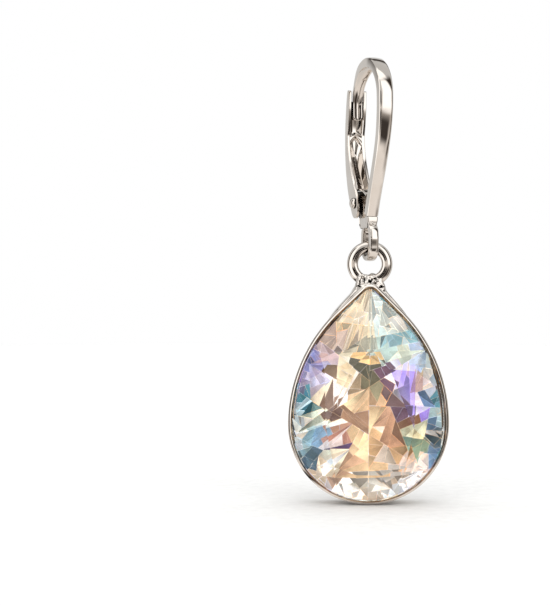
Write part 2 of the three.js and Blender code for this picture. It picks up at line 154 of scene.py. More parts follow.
# How far the direction points up, to the view's right and towards its front, each from -1 to 1.
upwards, sideways, frontwards = [
    node(sky, "ShaderNodeVectorMath", {0: direction, 1: axis}, operation="DOT_PRODUCT").outputs["Value"]
    for axis in ((0, 0, 1), across_view, -along_view)
]
climb = node(sky, "ShaderNodeMath", {0: upwards}, operation="ARCSINE")
swing = node(sky, "ShaderNodeMath", {0: sideways, 1: frontwards}, operation="ARCTAN2")
off_axis = node(sky, "ShaderNodeMath", {0: frontwards}, operation="ARCCOSINE")
climb_share = node(
    sky, "ShaderNodeMapRange", {"Value": climb, "From Min": -math.pi / 2, "From Max": math.pi / 2}
)
front_walls = node(
    sky,
    "ShaderNodeValToRGB",
    {"Fac": climb_share},
    [(0.1, TABLE_NEAR), (0.3, TABLE_WARM), (0.38, TABLE_WARM), (0.47, WALL_BEIGE), (0.7, WALL_GREY)],
)
back_walls = node(
    sky,
    "ShaderNodeValToRGB",
    {"Fac": climb_share},
    [(0.1, TABLE_NEAR), (0.4, WALL_BACK), (0.6, WALL_BACK), (0.9, WALL_GREY)],
)
CORNER_SWING = math.sin(math.radians(4.5))
CORNER_CLIMB = math.sin(math.radians(2))
# The four panels round the camera leave dark corners between them, to the right of its middle.
aside = node(sky, "ShaderNodeMath", {0: sideways, 1: CORNER_SWING}, operation="SUBTRACT")
above = node(sky, "ShaderNodeMath", {0: upwards, 1: CORNER_CLIMB}, operation="SUBTRACT")
aside_squared = node(sky, "ShaderNodeMath", {0: aside, 1: aside}, operation="MULTIPLY")
above_squared = node(sky, "ShaderNodeMath", {0: above, 1: above}, operation="MULTIPLY")
spread = node(sky, "ShaderNodeMath", {0: aside_squared, 1: above_squared}, operation="ADD")
safe_spread = node(sky, "ShaderNodeMath", {0: spread, 1: 1e-4}, operation="ADD")
slant_way = node(sky, "ShaderNodeMath", {0: aside, 1: above}, operation="MULTIPLY")
slant_size = node(sky, "ShaderNodeMath", {0: slant_way}, operation="ABSOLUTE")
slant = node(sky, "ShaderNodeMath", {0: slant_size, 1: safe_spread}, operation="DIVIDE")
# Smooth steps from 0 to 1: behind the earring, in those corners, and overhead.
behind, corners, overhead = [
    node(
        sky,
        "ShaderNodeMapRange",
        {"Value": value, "From Min": low, "From Max": high},
        interpolation_type="SMOOTHSTEP",
    )
    for value, low, high in ((frontwards, 0.1, -0.35), (slant, 0.12, 0.26), (upwards, 0.5, 0.95))
]


def between(value, low, high, soft):
    """1 between two angles in degrees and 0 outside, with soft edges."""
    edges = {}
    for number, limit, reach in ((0, low, soft), (1, high, -soft)):
        start = math.radians(limit - reach / 2)
        end = math.radians(limit + reach / 2)
        edges[number] = node(
            sky,
            "ShaderNodeMapRange",
            {"Value": value, "From Min": start, "From Max": end},
            interpolation_type="SMOOTHSTEP",
        )
    return node(sky, "ShaderNodeMath", edges, operation="MULTIPLY")


def hang(below, colour, cover, also=1.0):
    """Hangs a light or dark panel, as far as both covers reach, in front of what is there so far."""
    share = node(sky, "ShaderNodeMath", {0: cover, 1: also}, operation="MULTIPLY")
    return node(sky, "ShaderNodeMixRGB", {"Fac": share, 1: below, 2: colour})


# Panels of the studio, as (colour, swing from, swing to, climb from, climb to, softness), in
# degrees from the camera's side. Swing is positive to the right.
PANELS = [
    (SOFTBOX_WHITE, -80, -24, -30, 62, 7),
    (SOFTBOX_WHITE, 25, 58, 0, 46, 6),
    (SOFTBOX_WHITE, -60, 60, 48, 82, 10),
    (SHADE, 20, 54, -26, -4, 11),
    (GAP_DARK, -150, -20, -52, -42, 8),
]
# Gaps in rings round the line of view, as (colour, angle from, angle to, softness, climb from,
# climb to), in degrees: one beside the earring and one high behind it.
RING_GAPS = [
    (GAP_BROWN, 62, 82, 8, -30, 50),
    (SHADE, 122, 138, 9, 14, 70),
]
RING_GAP_ENDS = 14
# How far the warm wall round the lens and the dark corners reach, as (from, to, softness).
LENS_REACH = (-20, 17, 8)
CORNER_REACH = (-20, 21, 5)

seen = hang(front_walls, back_walls, behind)
for colour, swing_from, swing_to, climb_from, climb_to, soft in PANELS:
    across = between(swing, swing_from, swing_to, soft)
    seen = hang(seen, colour, across, between(climb, climb_from, climb_to, soft))
seen = hang(seen, LENS_WARM, between(off_axis, *LENS_REACH))
seen = hang(seen, GAP_DARK, between(off_axis, *CORNER_REACH), corners)
for colour, angle_from, angle_to, soft, climb_from, climb_to in RING_GAPS:
    ring_reach = between(off_axis, angle_from, angle_to, soft)
    seen = hang(seen, colour, ring_reach, between(climb, climb_from, climb_to, RING_GAP_ENDS))
# A broad lamp overhead lights the table's card. It hangs too high for the metal to mirror.
# Straight behind the earring everything is white.
ray_kind = node(sky, "ShaderNodeLightPath")
seen = hang(seen, OVERHEAD_LAMP, overhead, ray_kind.outputs["Is Diffuse Ray"])
seen = hang(seen, BACKDROP_WHITE, ray_kind.outputs["Is Camera Ray"])
background = node(sky, "ShaderNodeBackground", {"Color": seen, "Strength": 1.0})
node(sky, "ShaderNodeOutputWorld", {"Surface": background})

FLOOR_GAP = 0.05 * MM
FLOOR_RADIUS = 400 * MM
CARD_TOOTH_MM = 10 / 9

# Matt white card: a very faint tooth keeps it from being one flat tone.
white_card, card, card_face = blank_finish("matt_white_card")
card_grain = node(card, "ShaderNodeTexNoise", {"Scale": 1 / (CARD_TOOTH_MM * MM), "Detail": 3.0})
card_tone = node(card, "ShaderNodeValToRGB", {"Fac": card_grain}, [(0.3, "#f4f3f1"), (0.7, "#fbfaf8")])
plug(card, card_face, {
    "Base Color": card_tone,
    "Roughness": 0.9,
    "Specular IOR Level": 0.1,
    "Emission Color": (1, 1, 1, 1),
    "Emission Strength": 0.02,
})
floor_mesh = bpy.data.meshes.new("floor")
floor_form = bmesh.new()
bmesh.ops.create_circle(floor_form, cap_ends=True, segments=96, radius=FLOOR_RADIUS)
floor_form.to_mesh(floor_mesh)
floor_form.free()
floor_mesh.materials.append(white_card)
floor = bpy.data.objects.new("floor", floor_mesh)
floor.location.z = cad_box[0][2] - FLOOR_GAP
floor.visible_glossy = False
bpy.context.scene.collection.objects.link(floor)

# ---------- ear hook ----------
# Cast strap of plated brass, bent over as the arch that goes through the ear. The bar ends in a
# collar, a web with the rivet's boss behind it and a cast loop, all polished and plated together.

# Rhodium-like plate over polished brass: nearly a mirror, with soft waves left by hand polishing,
# faint hairlines, so its reflections wobble, and painted shade, a darker colour deep in its recesses.
# Real hairlines are much finer. They are drawn coarser here so that they show.
PLATE_LIGHT = "#dfd9d3"
PLATE_WARM = "#d9d2cb"
TARNISH_MM = 2.2
POLISH_WAVE_MM = 1.6
HAIRLINE_MM = 0.08
# Painted shade in the recesses: its colour, how far it reaches, and the occlusion at which it is full and
# gone.
RECESS_DARK = "#3b322c"
RECESS_MM = 0.9
RECESS_DARK_AT = 0.15
RECESS_CLEAR_AT = 0.7

polished_plate, plate, plate_face = blank_finish("rhodium_plate_polished")
plate_place = node(plate, "ShaderNodeTexCoord").outputs["Object"]
plate_tarnish = node(
    plate,
    "ShaderNodeTexNoise",
    {"Vector": plate_place, "Scale": 1 / (TARNISH_MM * MM), "Detail": 3.0, "Roughness": 0.6},
)
plate_tone = node(
    plate, "ShaderNodeValToRGB", {"Fac": plate_tarnish}, [(0.38, PLATE_WARM), (0.62, PLATE_LIGHT)]
)
plate_wave = node(
    plate, "ShaderNodeTexNoise", {"Vector": plate_place, "Scale": 1 / (POLISH_WAVE_MM * MM), "Detail": 1.0}
)
plate_hair = node(
    plate, "ShaderNodeTexNoise", {"Vector": plate_place, "Scale": 1 / (HAIRLINE_MM * MM), "Detail": 2.0}
)
plate_sheen = node(
    plate,
    "ShaderNodeMapRange",
    {"Value": plate_hair, "From Min": 0.3, "From Max": 0.8, "To Min": 0.03, "To Max": 0.08},
)
wave_bump = node(
    plate, "ShaderNodeBump", {"Height": plate_wave, "Strength": 0.35, "Distance": 0.08 * MM}
)
hair_bump = node(
    plate,
    "ShaderNodeBump",
    {"Height": plate_hair, "Normal": wave_bump, "Strength": 0.01, "Distance": 0.004 * MM},
)
# Painted shade: where ambient occlusion finds a recess, the colour turns to RECESS_DARK.
plate_recess_shade = node(plate, "ShaderNodeAmbientOcclusion", {"Distance": RECESS_MM * MM}, samples=3)
recess_shade_mix = node(
    plate,
    "ShaderNodeMapRange",
    {"Value": plate_recess_shade.outputs["AO"], "From Min": RECESS_DARK_AT, "From Max": RECESS_CLEAR_AT},
)
plate_colour = node(
    plate, "ShaderNodeMixRGB", {"Fac": recess_shade_mix, 1: linear(RECESS_DARK), 2: plate_tone}
)
plug(plate, plate_face, {
    "Metallic": 1.0,
    "Base Color": plate_colour,
    "Roughness": plate_sheen,
    "Normal": hair_bump,
})


def rounded(corners, steps=4):
    """Points round a polygon whose corners (across, out, reach) are each bent over that reach."""
    points = []
    count = len(corners)
    for i, (across, out, reach) in enumerate(corners):
        here = Vector((across, out))
        before = Vector(corners[i - 1][:2]) - here
        after = Vector(corners[(i + 1) % count][:2]) - here
        start = here + before.normalized() * min(reach, before.length * 0.48)
        end = here + after.normalized() * min(reach, after.length * 0.48)
        for k in range(steps + 1):
            t = k / steps
            points.append(start * (1 - t) ** 2 + here * 2 * t * (1 - t) + end * t**2)
    return points


def skin(rings, closed=False):
    """Points and faces of a skin over rings of points. An open skin gets a flat cap at each end."""
    count = len(rings[0])
    points = [p for ring in rings for p in ring]
    spans = len(rings) if closed else len(rings) - 1
    faces = []
    for r in range(spans):
        low = r * count
        high_ring = ((r + 1) % len(rings)) * count
        for i in range(count):
            j = (i + 1) % count
            faces.append((low + i, low + j, high_ring + j, high_ring + i))
    if not closed:
        faces.append(tuple(range(count - 1, -1, -1)))
        last = (len(rings) - 1) * count
        faces.append(tuple(range(last, last + count)))
    return points, faces


def piece(name, form, material):
    """An object from points and faces, still in millimetres, with its faces turned outwards."""
    points, faces = form
    mesh = bpy.data.meshes.new(name)
    mesh.from_pydata(points, [], faces)
    shape = bmesh.new()
    shape.from_mesh(mesh)
    bmesh.ops.recalc_face_normals(shape, faces=shape.faces)
    shape.to_mesh(mesh)
    shape.free()
    mesh.materials.append(material)
    made = bpy.data.objects.new(name, mesh)
    bpy.context.scene.collection.objects.link(made)
    return made


def settle(made):
    """Turns what a piece's modifiers do into its mesh."""
    settled = bpy.data.meshes.new_from_object(made.evaluated_get(bpy.context.evaluated_depsgraph_get()))
    made.modifiers.clear()
    made.data = settled


def join(target, tool, operation="UNION"):
    """Joins a tool to the target, or cuts it away, and drops the tool."""
    change = target.modifiers.new("join", "BOOLEAN")
    change.object = tool
    change.operation = operation
    change.solver = "MANIFOLD"
    settle(target)
    bpy.data.objects.remove(tool)


def fuse(target, form, material=polished_plate, operation="UNION"):
    """Joins a form to the target, or cuts it away. The faces it leaves have the given material."""
    join(target, piece("tool", form, material), operation)


def polish(made, sharp_degrees=35):
    """Brings a piece to metres, smooth but for its crisp edges and with its flat faces flat."""
    made.data.transform(Matrix.Scale(MM, 4))
    made.data.shade_smooth()
    made.data.set_sharp_from_angle(angle=math.radians(sharp_degrees))
    weight = made.modifiers.new("weighted_normals", "WEIGHTED_NORMAL")
    weight.keep_sharp = True


ARCH_RADIUS = 2.93
# Places down the tip, as (Y, Z, width, thickness).
TIP_ROWS = [
    (3.1, -4.08, 0.3, 0.16),
    (3.1, -4.04, 0.56, 0.28),
    (3.1, -3.94, 0.74, 0.35),
    (3.1, -3.75, 0.83, 0.38),
    (3.12, -3.3, 0.84, 0.4),
]
# The strap over the arch, as (share of the half circle, width, thickness).
ARCH_ROWS = [(0.0, 0.84, 0.4), (0.15, 0.92, 0.5), (0.4, 1.16, 0.8), (0.55, 1.25, 0.84), (1.0, 1.26, 0.72)]
# Places down the bar, as (Y, Z, width, thickness).
BAR_ROWS = [
    (-3.27, -4.0, 1.24, 0.72),
    (-3.12, -5.2, 1.2, 0.72),
    (-2.84, -6.4, 1.14, 0.74),
    (-2.42, -7.6, 1.1, 0.76),
    (-1.88, -8.9, 1.08, 0.78),
    (-1.28, -10.2, 1.04, 0.8),
    (-0.66, -11.6, 1.02, 0.82),
    (-0.24, -12.66, 1.02, 0.84),
]
ARCH_STEPS = 16
STRAP_BEVEL = 0.08
STRAP_DOME = 0.05
STRAP_HOLLOW = 0.1
STRAP_FACE_STEPS = 12


def blend_rows(rows, steps):
    """Rows of numbers joined by a smooth curve through all of them."""
    fine = []
    for i in range(len(rows) - 1):
        a = Vector(rows[max(i - 1, 0)])
        b = Vector(rows[i])
        c = Vector(rows[i + 1])
        d = Vector(rows[min(i + 2, len(rows) - 1)])
        for k in range(steps):
            t = k / steps
            fine.append(
                b + (c - a) * 0.5 * t
                + (a * 2 - b * 5 + c * 4 - d) * 0.5 * t**2
                + (b * 3 - a - c * 3 + d) * 0.5 * t**3
            )
    fine.append(Vector(rows[-1]))
    return fine


def arch_row(share):
    """The strap's place over the arch, at a share of the half circle from its back end."""
    before = max(row for row in ARCH_ROWS if row[0] <= share)
    after = min(row for row in ARCH_ROWS if row[0] >= share)
    t = 0.0 if before == after else (share - before[0]) / (after[0] - before[0])
    t = t * t * (3 - 2 * t)
    width = before[1] + (after[1] - before[1]) * t
    thickness = before[2] + (after[2] - before[2]) * t
    radius = ARCH_RADIUS + thickness / 2
    angle = math.pi * share
    return (radius * math.cos(angle), radius * math.sin(angle) - ARCH_RADIUS, width, thickness)


def strap_section(width, thickness):
    """Flat sides, a domed outer face between bevels, and a slightly hollow inner face."""
    half = width / 2
    deep = thickness / 2
    bevel = min(STRAP_BEVEL, width * 0.14, thickness * 0.3)
    dome = min(STRAP_DOME, thickness * 0.12)
    hollow = min(STRAP_HOLLOW, thickness * 0.26)
    face = half - bevel
    shares = [1 - 2 * k / STRAP_FACE_STEPS for k in range(STRAP_FACE_STEPS + 1)]
    outer = [Vector((face * share, deep - dome * share**2)) for share in shares]
    inner = [Vector((-face * share, -deep + hollow * (1 - abs(share) ** 1.5))) for share in shares]
    right_side = [
        Vector((half - 0.02, -deep + 0.005)),
        Vector((half, -deep + 0.03)),
        Vector((half, deep - dome - bevel - 0.02)),
        Vector((half - 0.01, deep - dome - bevel + 0.02)),
    ]
    left_side = [Vector((-p.x, p.y)) for p in reversed(right_side)]
    return inner + right_side + outer + left_side


def sweep_side(rows, section_of):
    """Rings along rows of (Y, Z, width, thickness). Out points to the left of the way."""
    rings = []
    for i, row in enumerate(rows):
        before = rows[max(i - 1, 0)]
        after = rows[min(i + 1, len(rows) - 1)]
        way = Vector((after[0] - before[0], after[1] - before[1])).normalized()
        out = Vector((way.y, -way.x))
        rings.append([
            Vector((p.x, row[0] + out.x * p.y, row[1] + out.y * p.y)) for p in section_of(row[2], row[3])
        ])
    return rings


strap_rows = blend_rows(
    TIP_ROWS + [arch_row(i / ARCH_STEPS) for i in range(ARCH_STEPS + 1)] + BAR_ROWS, steps=6
)
hook = piece("ear_hook_cast", skin(sweep_side(strap_rows, strap_section)), polished_plate)

RIVET_Y = 1.73
RIVET_Z = -11.53
WEB_WIDTH = 0.9
WEB_EDGE = 0.05
BOSS_RADIUS = 0.85
WEB_NOTCH = [(-0.75, -11.1), (0.1, -12.0)]
BOSS_ARC = (160, -60)
WEB_HEEL = [(1.5, -12.73), (1.5, -13.3), (1.36, -13.6), (1.1, -13.8), (-0.4, -13.8), (-0.45, -12.7)]


def arc(centre, radius, from_degrees, to_degrees, steps):
    """Points (Y, Z) along an arc."""
    turn = [math.radians(from_degrees + (to_degrees - from_degrees) * k / steps) for k in range(steps + 1)]
    return [(centre[0] + radius * math.cos(a), centre[1] + radius * math.sin(a)) for a in turn]


def shrink(outline, inset):
    """A closed outline (Y, Z) moved inwards by an inset. It runs clockwise."""
    moved = []
    for i, point in enumerate(outline):
        here = Vector(point)
        back = (here - Vector(outline[i - 1])).normalized()
        ahead = (Vector(outline[(i + 1) % len(outline)]) - here).normalized()
        side = Vector((back.y, -back.x)) + Vector((ahead.y, -ahead.x))
        moved.append(here + side * inset / max(side.length_squared / 2, 0.3))
    return moved


def plate_form(outline, width, edge):
    """A plate across X with rounded edges, from a clockwise outline (Y, Z)."""
    rings = []
    steps = 3
    for side in (-1, 1):
        for k in range(steps + 1):
            turn = math.pi / 2 * (k / steps if side < 0 else 1 - k / steps)
            x = side * (width / 2 - edge * (1 - math.sin(turn)))
            ring = shrink(outline, edge * (1 - math.cos(math.pi / 2 - turn)))
            rings.append([Vector((x, p[0], p[1])) for p in ring])
    return skin(rings)


web_outline = WEB_NOTCH + arc((RIVET_Y, RIVET_Z), BOSS_RADIUS, *BOSS_ARC, 24) + WEB_HEEL
fuse(hook, plate_form(web_outline, WEB_WIDTH, WEB_EDGE))

COLLAR_BACK = 0.1
COLLAR_CORNER = 0.12
# Collar, as (Z, front Y, width).
COLLAR_ROWS = [
    (-12.45, -0.54, 0.86),
    (-12.72, -0.5, 0.86),
    (-12.8, -0.5, 0.86),
    (-12.84, -0.57, 0.97),
    (-12.95, -0.6, 0.98),
    (-13.2, -0.6, 0.94),
    (-13.42, -0.59, 0.84),
    (-13.6, -0.62, 0.8),
    (-13.75, -0.62, 0.8),
]


def block_ring(z, front, back, width, reach):
    """A level ring of a block with rounded corners."""
    half = width / 2
    corners = [(-half, back, reach), (-half, front, reach), (half, front, reach), (half, back, reach)]
    return [Vector((p.x, p.y, z)) for p in rounded(corners)]


collar_rings = [
    block_ring(z, front, COLLAR_BACK, width, COLLAR_CORNER) for z, front, width in COLLAR_ROWS
]
fuse(hook, skin(collar_rings))

LOOP_Y = 0.12
LOOP_DEPTH = 2.16
LOOP_TOP = -13.25
LOOP_BOTTOM = -16.62
LOOP_STRAND = 0.44
LOOP_WIDTH = 0.82
LOOP_BOW = 0.05


def loop_rings():
    """Rings round the upright oval loop, each across its flat strand."""
    radius = (LOOP_DEPTH - LOOP_STRAND) / 2
    top = LOOP_TOP - LOOP_DEPTH / 2
    bottom = LOOP_BOTTOM + LOOP_DEPTH / 2
    half = LOOP_WIDTH / 2
    deep = LOOP_STRAND / 2
    section = rounded([
        (-half, -deep, 0.08),
        (half, -deep, 0.08),
        (half, deep - 0.04, 0.1),
        (0.0, deep + 0.02, 0.25),
        (-half, deep - 0.04, 0.1),
    ])
    places = []
    for centre_z, start, far_z in ((top, 0, bottom), (bottom, 180, top)):
        for k in range(25):
            angle = math.radians(start + 180 * k / 24)
            out = Vector((0, math.cos(angle), math.sin(angle)))
            places.append((Vector((0, LOOP_Y, centre_z)) + out * radius, out))
        side = -1 if start == 0 else 1
        for k in range(1, 8):
            along = k / 8
            bow = LOOP_BOW * math.sin(math.pi * along**0.6) ** 2
            z = centre_z + (far_z - centre_z) * along
            places.append((Vector((0, LOOP_Y + side * (radius + bow), z)), Vector((0, side, 0))))
    return [[middle + Vector((p.x, 0, 0)) + out * p.y for p in section] for middle, out in places]


fuse(hook, skin(loop_rings(), closed=True))


def blob(centre, reach, roughness, seed, rings=14):
    """A lump of solder: an egg with an uneven skin."""
    points = []
    for i in range(rings + 1):
        tilt = math.pi * i / rings
        for k in range(2 * rings):
            turn = math.pi * k / rings
            way = Vector((math.sin(tilt) * math.cos(turn), math.sin(tilt) * math.sin(turn), math.cos(tilt)))
            swell = 1 + roughness * noise.noise(way * 2.1 + Vector((seed, 0, 0)))
            points.append(Vector(centre) + Vector([w * r * swell for w, r in zip(way, reach)]))
    return skin([points[i * 2 * rings : (i + 1) * 2 * rings] for i in range(1, rings)])


# Drops of solder where the collar meets the loop, as (X, Y, Z, reach).
COLLAR_DROPS = [(-0.1, -0.6, -13.42, 0.16), (0.16, -0.6, -13.5, 0.15), (0.02, -0.63, -13.62, 0.12)]
for number, (x, y, z, reach) in enumerate(COLLAR_DROPS):
    drop = blob((x, y, z), (reach * 1.2, reach * 0.8, reach), 0.3, seed=number * 3.7)
    fuse(hook, drop)

RIVET_RADIUS = 0.3
RIVET_PLAY = 0.06
HOLE_LENGTH = 3


def pin_form(radius, length, segments=40):
    """A round bar along X on the rivet's line."""
    turns = [2 * math.pi * k / segments for k in range(segments)]
    return skin([
        [Vector((x, RIVET_Y + radius * math.cos(a), RIVET_Z + radius * math.sin(a))) for a in turns]
        for x in (-length / 2, length / 2)
    ])


rivet_hole = pin_form(RIVET_RADIUS + RIVET_PLAY, HOLE_LENGTH)
fuse(hook, rivet_hole, operation="DIFFERENCE")
polish(hook)
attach(hook, "hook")
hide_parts("ear_hook")

# ---------- rivet ----------
# The hinge's pin, a soft brass wire pushed through both ears and the boss and headed with a
# hammer, so that its domes are a little uneven. Plated with the rest.

RIVET_HEAD_RADIUS = 0.48
RIVET_HEAD_HEIGHT = 0.34
LEVER_WIDTH = 1.68


def rivet_rings(segments=40, steps=8):
    """Rings along X: a domed head, the pin and the other head."""
    inner = LEVER_WIDTH / 2 + RIVET_PLAY
    rows = []
    for side in (-1, 1):
        dome = []
        for k in range(steps):
            tilt = math.pi / 2 * (1 - k / steps) * 0.94
            x = inner + RIVET_HEAD_HEIGHT * math.sin(tilt)
            dome.append((side * x, RIVET_HEAD_RADIUS * math.cos(tilt)))
        dome.append((side * (inner + 0.03), RIVET_HEAD_RADIUS))
        dome.append((side * inner, RIVET_HEAD_RADIUS - 0.03))
        dome.append((side * inner, RIVET_RADIUS))
        rows += dome if side < 0 else dome[::-1]
    rings = []
    for x, radius in rows:
        ring = []
        for k in range(segments):
            turn = 2 * math.pi * k / segments
            way = Vector((0, math.cos(turn), math.sin(turn)))
            dent = 0.05 * noise.noise(way * radius * 5 + Vector((x * 2, 0, 3.1)))
            reach = radius * (1 + dent) if abs(x) > inner else radius
            ring.append(Vector((x, RIVET_Y, RIVET_Z)) + way * reach)
        rings.append(ring)
    return rings


rivet = piece("rivet_headed_pin", skin(rivet_rings()), polished_plate)
polish(rivet, 50)
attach(rivet, "hook")
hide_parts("rivet")

# ---------- lever ----------
# Pressed from plated sheet as a thin channel. A pinch across its middle makes the saddle between
# its two pockets. Its fork takes the hook's tip, and its ears turn on the rivet.

LEVER_WALL = 0.27
LEVER_FLOOR = 0.24
# Side view from the fork's top to the foot of the ears, as (back Y, front Y, Z).
LEVER_ROWS = [
    (3.3, 3.1, -1.46),
    (3.42, 3.0, -1.52),
    (3.5, 2.95, -1.66),
    (3.66, 2.95, -2.3),
    (3.8, 3.0, -3.2),
    (3.97, 3.17, -4.5),
    (4.02, 3.36, -5.4),
    (4.02, 3.3, -6.4),
    (3.95, 2.98, -7.6),
    (3.8, 2.56, -8.6),
    (3.56, 2.08, -9.6),
    (3.28, 1.54, -10.5),
    (2.92, 1.14, -11.3),
    (2.6, 1.0, -12.0),
    (2.3, 1.08, -12.5),
    (2.0, 1.28, -12.76),
    (1.8, 1.5, -12.84),
]
LEVER_CORNER = 0.2
LEVER_RIM = 0.05
FLOOR_STEPS = 32
# The floor is nearly flat above CURL_FROM and curls up into the walls below CURL_TO.
FLOOR_CURL = 0.16
LOWER_CURL_SHARE = 0.85
CURL_FROM = -5.6
CURL_TO = -7.0
# The seam where the sheet is folded runs aslant down the lower pocket, as (Z, X, depth).
SEAM_ROWS = [(-6.7, -0.04, 0.0), (-7.8, 0.08, 0.1), (-9.0, 0.23, 0.16), (-10.6, 0.42, 0.16)]
SEAM_HALF = 0.13
# Width of the painted shadow strip beside the seam, and the seam depth it needs before it is painted.
SHADOW_STRIP_WIDTH = 0.24
SHADOW_STRIP_SEAM_DEPTH = 0.05
SADDLE_TOP = -5.3
SADDLE_FOOT = -6.4
SADDLE_CREASE = 0.3
SADDLE_SPLIT = 0.75
SADDLE_SLOPES = (0.34, 0.4)
FORK_FOOT = -2.4
EAR_TOP = -10.6
CHANNEL_SHADE_MM = 0.3


def ease(value, low, high):
    """0 below low, 1 above high and a smooth step between."""
    t = min(max((value - low) / (high - low), 0.0), 1.0)
    return t * t * (3 - 2 * t)


def seam_at(z):
    """Where the seam lies across the floor at a height, and how deep it is there."""
    for (z1, x1, deep1), (z2, x2, deep2) in zip(SEAM_ROWS, SEAM_ROWS[1:]):
        if z2 <= z <= z1:
            t = (z1 - z) / (z1 - z2)
            return x1 + (x2 - x1) * t, deep1 + (deep2 - deep1) * t
    return 0.0, 0.0


def lever_ring(back, front, z):
    """A level cut through the channel: two walls and the floor between them."""
    half = LEVER_WIDTH / 2
    inner = half - LEVER_WALL
    depth = max(back - front - 0.02, 0.02)
    corner = min(LEVER_CORNER, depth * 0.4)
    rim = min(LEVER_RIM, depth * 0.3)
    outer = rounded([(half, front, rim), (half, back, corner), (-half, back, corner), (-half, front, rim)])
    lower_curl = max(LOWER_CURL_SHARE * (back - LEVER_FLOOR - front), FLOOR_CURL)
    curl = FLOOR_CURL + (lower_curl - FLOOR_CURL) * ease(-z, -CURL_FROM, -CURL_TO)
    seam_x, seam_depth = seam_at(z)
    floor_line = []
    for k in range(FLOOR_STEPS + 1):
        x = -inner + 2 * inner * k / FLOOR_STEPS
        middle = 1 - abs(x) / inner
        top = SADDLE_TOP + SADDLE_CREASE * middle
        foot = SADDLE_FOOT + SADDLE_SPLIT * middle
        raised = ease(-z, -top, -top + SADDLE_SLOPES[0]) * ease(z, foot, foot + SADDLE_SLOPES[1])
        deep_floor = back - LEVER_FLOOR - curl * (1 - middle) ** 2
        shallow = front + 0.06 + 0.07 * middle
        y = deep_floor + (max(min(shallow, deep_floor), front + 0.02) - deep_floor) * raised
        y += seam_depth * (1 - ease(abs(x - seam_x) / SEAM_HALF, 0.3, 1.0))
        floor_line.append(Vector((x, max(y, front + 0.01))))
    left_rim = [Vector((-inner - LEVER_RIM, front)), Vector((-inner, front + rim))]
    right_rim = [Vector((inner, front + rim)), Vector((inner + LEVER_RIM, front))]
    line = outer + left_rim + floor_line + right_rim
    return [Vector((p.x, p.y, z)) for p in line]


def plate_variant(name, reach=RECESS_MM, dark_at=RECESS_DARK_AT, clear_at=RECESS_CLEAR_AT, dark=RECESS_DARK):
    """The polished plate again, with its painted recess shade over another reach, range or colour."""
    variant = polished_plate.copy()
    variant.name = name
    parts = variant.node_tree.nodes
    parts[plate_recess_shade.name].inputs["Distance"].default_value = reach * MM
    parts[recess_shade_mix.name].inputs["From Min"].default_value = dark_at
    parts[recess_shade_mix.name].inputs["From Max"].default_value = clear_at
    parts[plate_colour.name].inputs[1].default_value = linear(dark)
    return variant


# Inside the channel the painted recess shade reaches less far than in the other recesses. Beside the
# seam a strip of forward-facing floor is painted dark brown all over: a painted shadow.
channel_plate = plate_variant("polished_plate_in_channel", CHANNEL_SHADE_MM)
seam_painted_shadow = plate_variant("seam_strip_painted_shadow", dark_at=0.97, clear_at=1.5)
lever_rings = [lever_ring(*row) for row in blend_rows(LEVER_ROWS, steps=10)]
lever = piece("lever_channel", skin(lever_rings), channel_plate)
lever.data.materials.append(seam_painted_shadow)
for face in lever.data.polygons:
    seam_x, seam_depth = seam_at(face.center.z)
    beside_seam = seam_x - SHADOW_STRIP_WIDTH < face.center.x < seam_x
    if beside_seam and seam_depth > SHADOW_STRIP_SEAM_DEPTH and face.normal.y < -0.1:
        face.material_index = 1


def box_form(low, high):
    """A plain box between two corners, for cutting."""
    flat = [(low[0], low[1]), (high[0], low[1]), (high[0], high[1]), (low[0], high[1])]
    return skin([[Vector((x, y, z)) for x, y in flat] for z in (low[2], high[2])])


lever_inner = LEVER_WIDTH / 2 - LEVER_WALL
fork_gap = box_form((-lever_inner, -1, FORK_FOOT), (lever_inner, 5, 0))
ear_gap = box_form((-lever_inner, -1, -14), (lever_inner, 5, EAR_TOP))
for gap in (fork_gap, ear_gap, rivet_hole):
    fuse(lever, gap, operation="DIFFERENCE")

TONGUE_WIDTH = 0.92
TONGUE_THICKNESS = 0.2
TONGUE_EDGE = 0.06
# The middle of the tongue, as (Y, Z), from the lever to the bar.
TONGUE_ROWS = [
    (3.1, -10.3),
    (2.5, -10.38),
    (1.7, -10.36),
    (0.9, -10.46),
    (0.3, -10.72),
    (-0.08, -10.98),
]
tongue_rows = blend_rows([(y, z, TONGUE_WIDTH, TONGUE_THICKNESS) for y, z in TONGUE_ROWS], steps=6)


def strip_section(width, thickness):
    """A flat strip with softened edges."""
    half = width / 2
    deep = thickness / 2
    corners = [(-half, -deep), (half, -deep), (half, deep), (-half, deep)]
    return rounded([(*corner, TONGUE_EDGE) for corner in corners])


fuse(lever, skin(sweep_side(tongue_rows, strip_section)))
polish(lever)
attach(lever, "lever")
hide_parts("lever")

# ---------- setting ----------
# Bezel cup, pressed from sheet with a rolled lip and a closed back, and a cast ring soldered to
# its point. The solder has run down both shoulders and was plated over without being filed.

RING_CENTRE = Vector((0.0, LOOP_Y, -16.87))
RING_RADIUS = 1.49
RING_WIRE = 0.48
RING_FLATTENING = 0.64
RING_LEAN = math.radians(11)
PENDANT_LEAN = math.radians(0.8)
BELLY_RADIUS = 6.87
BELLY_BELOW_RING = 13.69
FLANK_RADIUS = 13.5
FLANK_SWEEP = math.radians(46)
POINT_RADIUS = 1.06

turn_to_view = Matrix.Rotation(math.atan2(across_view.y, across_view.x), 4, "Z")
pendant_place = Matrix.Translation(RING_CENTRE) @ turn_to_view @ Matrix.Rotation(PENDANT_LEAN, 4, "Y")


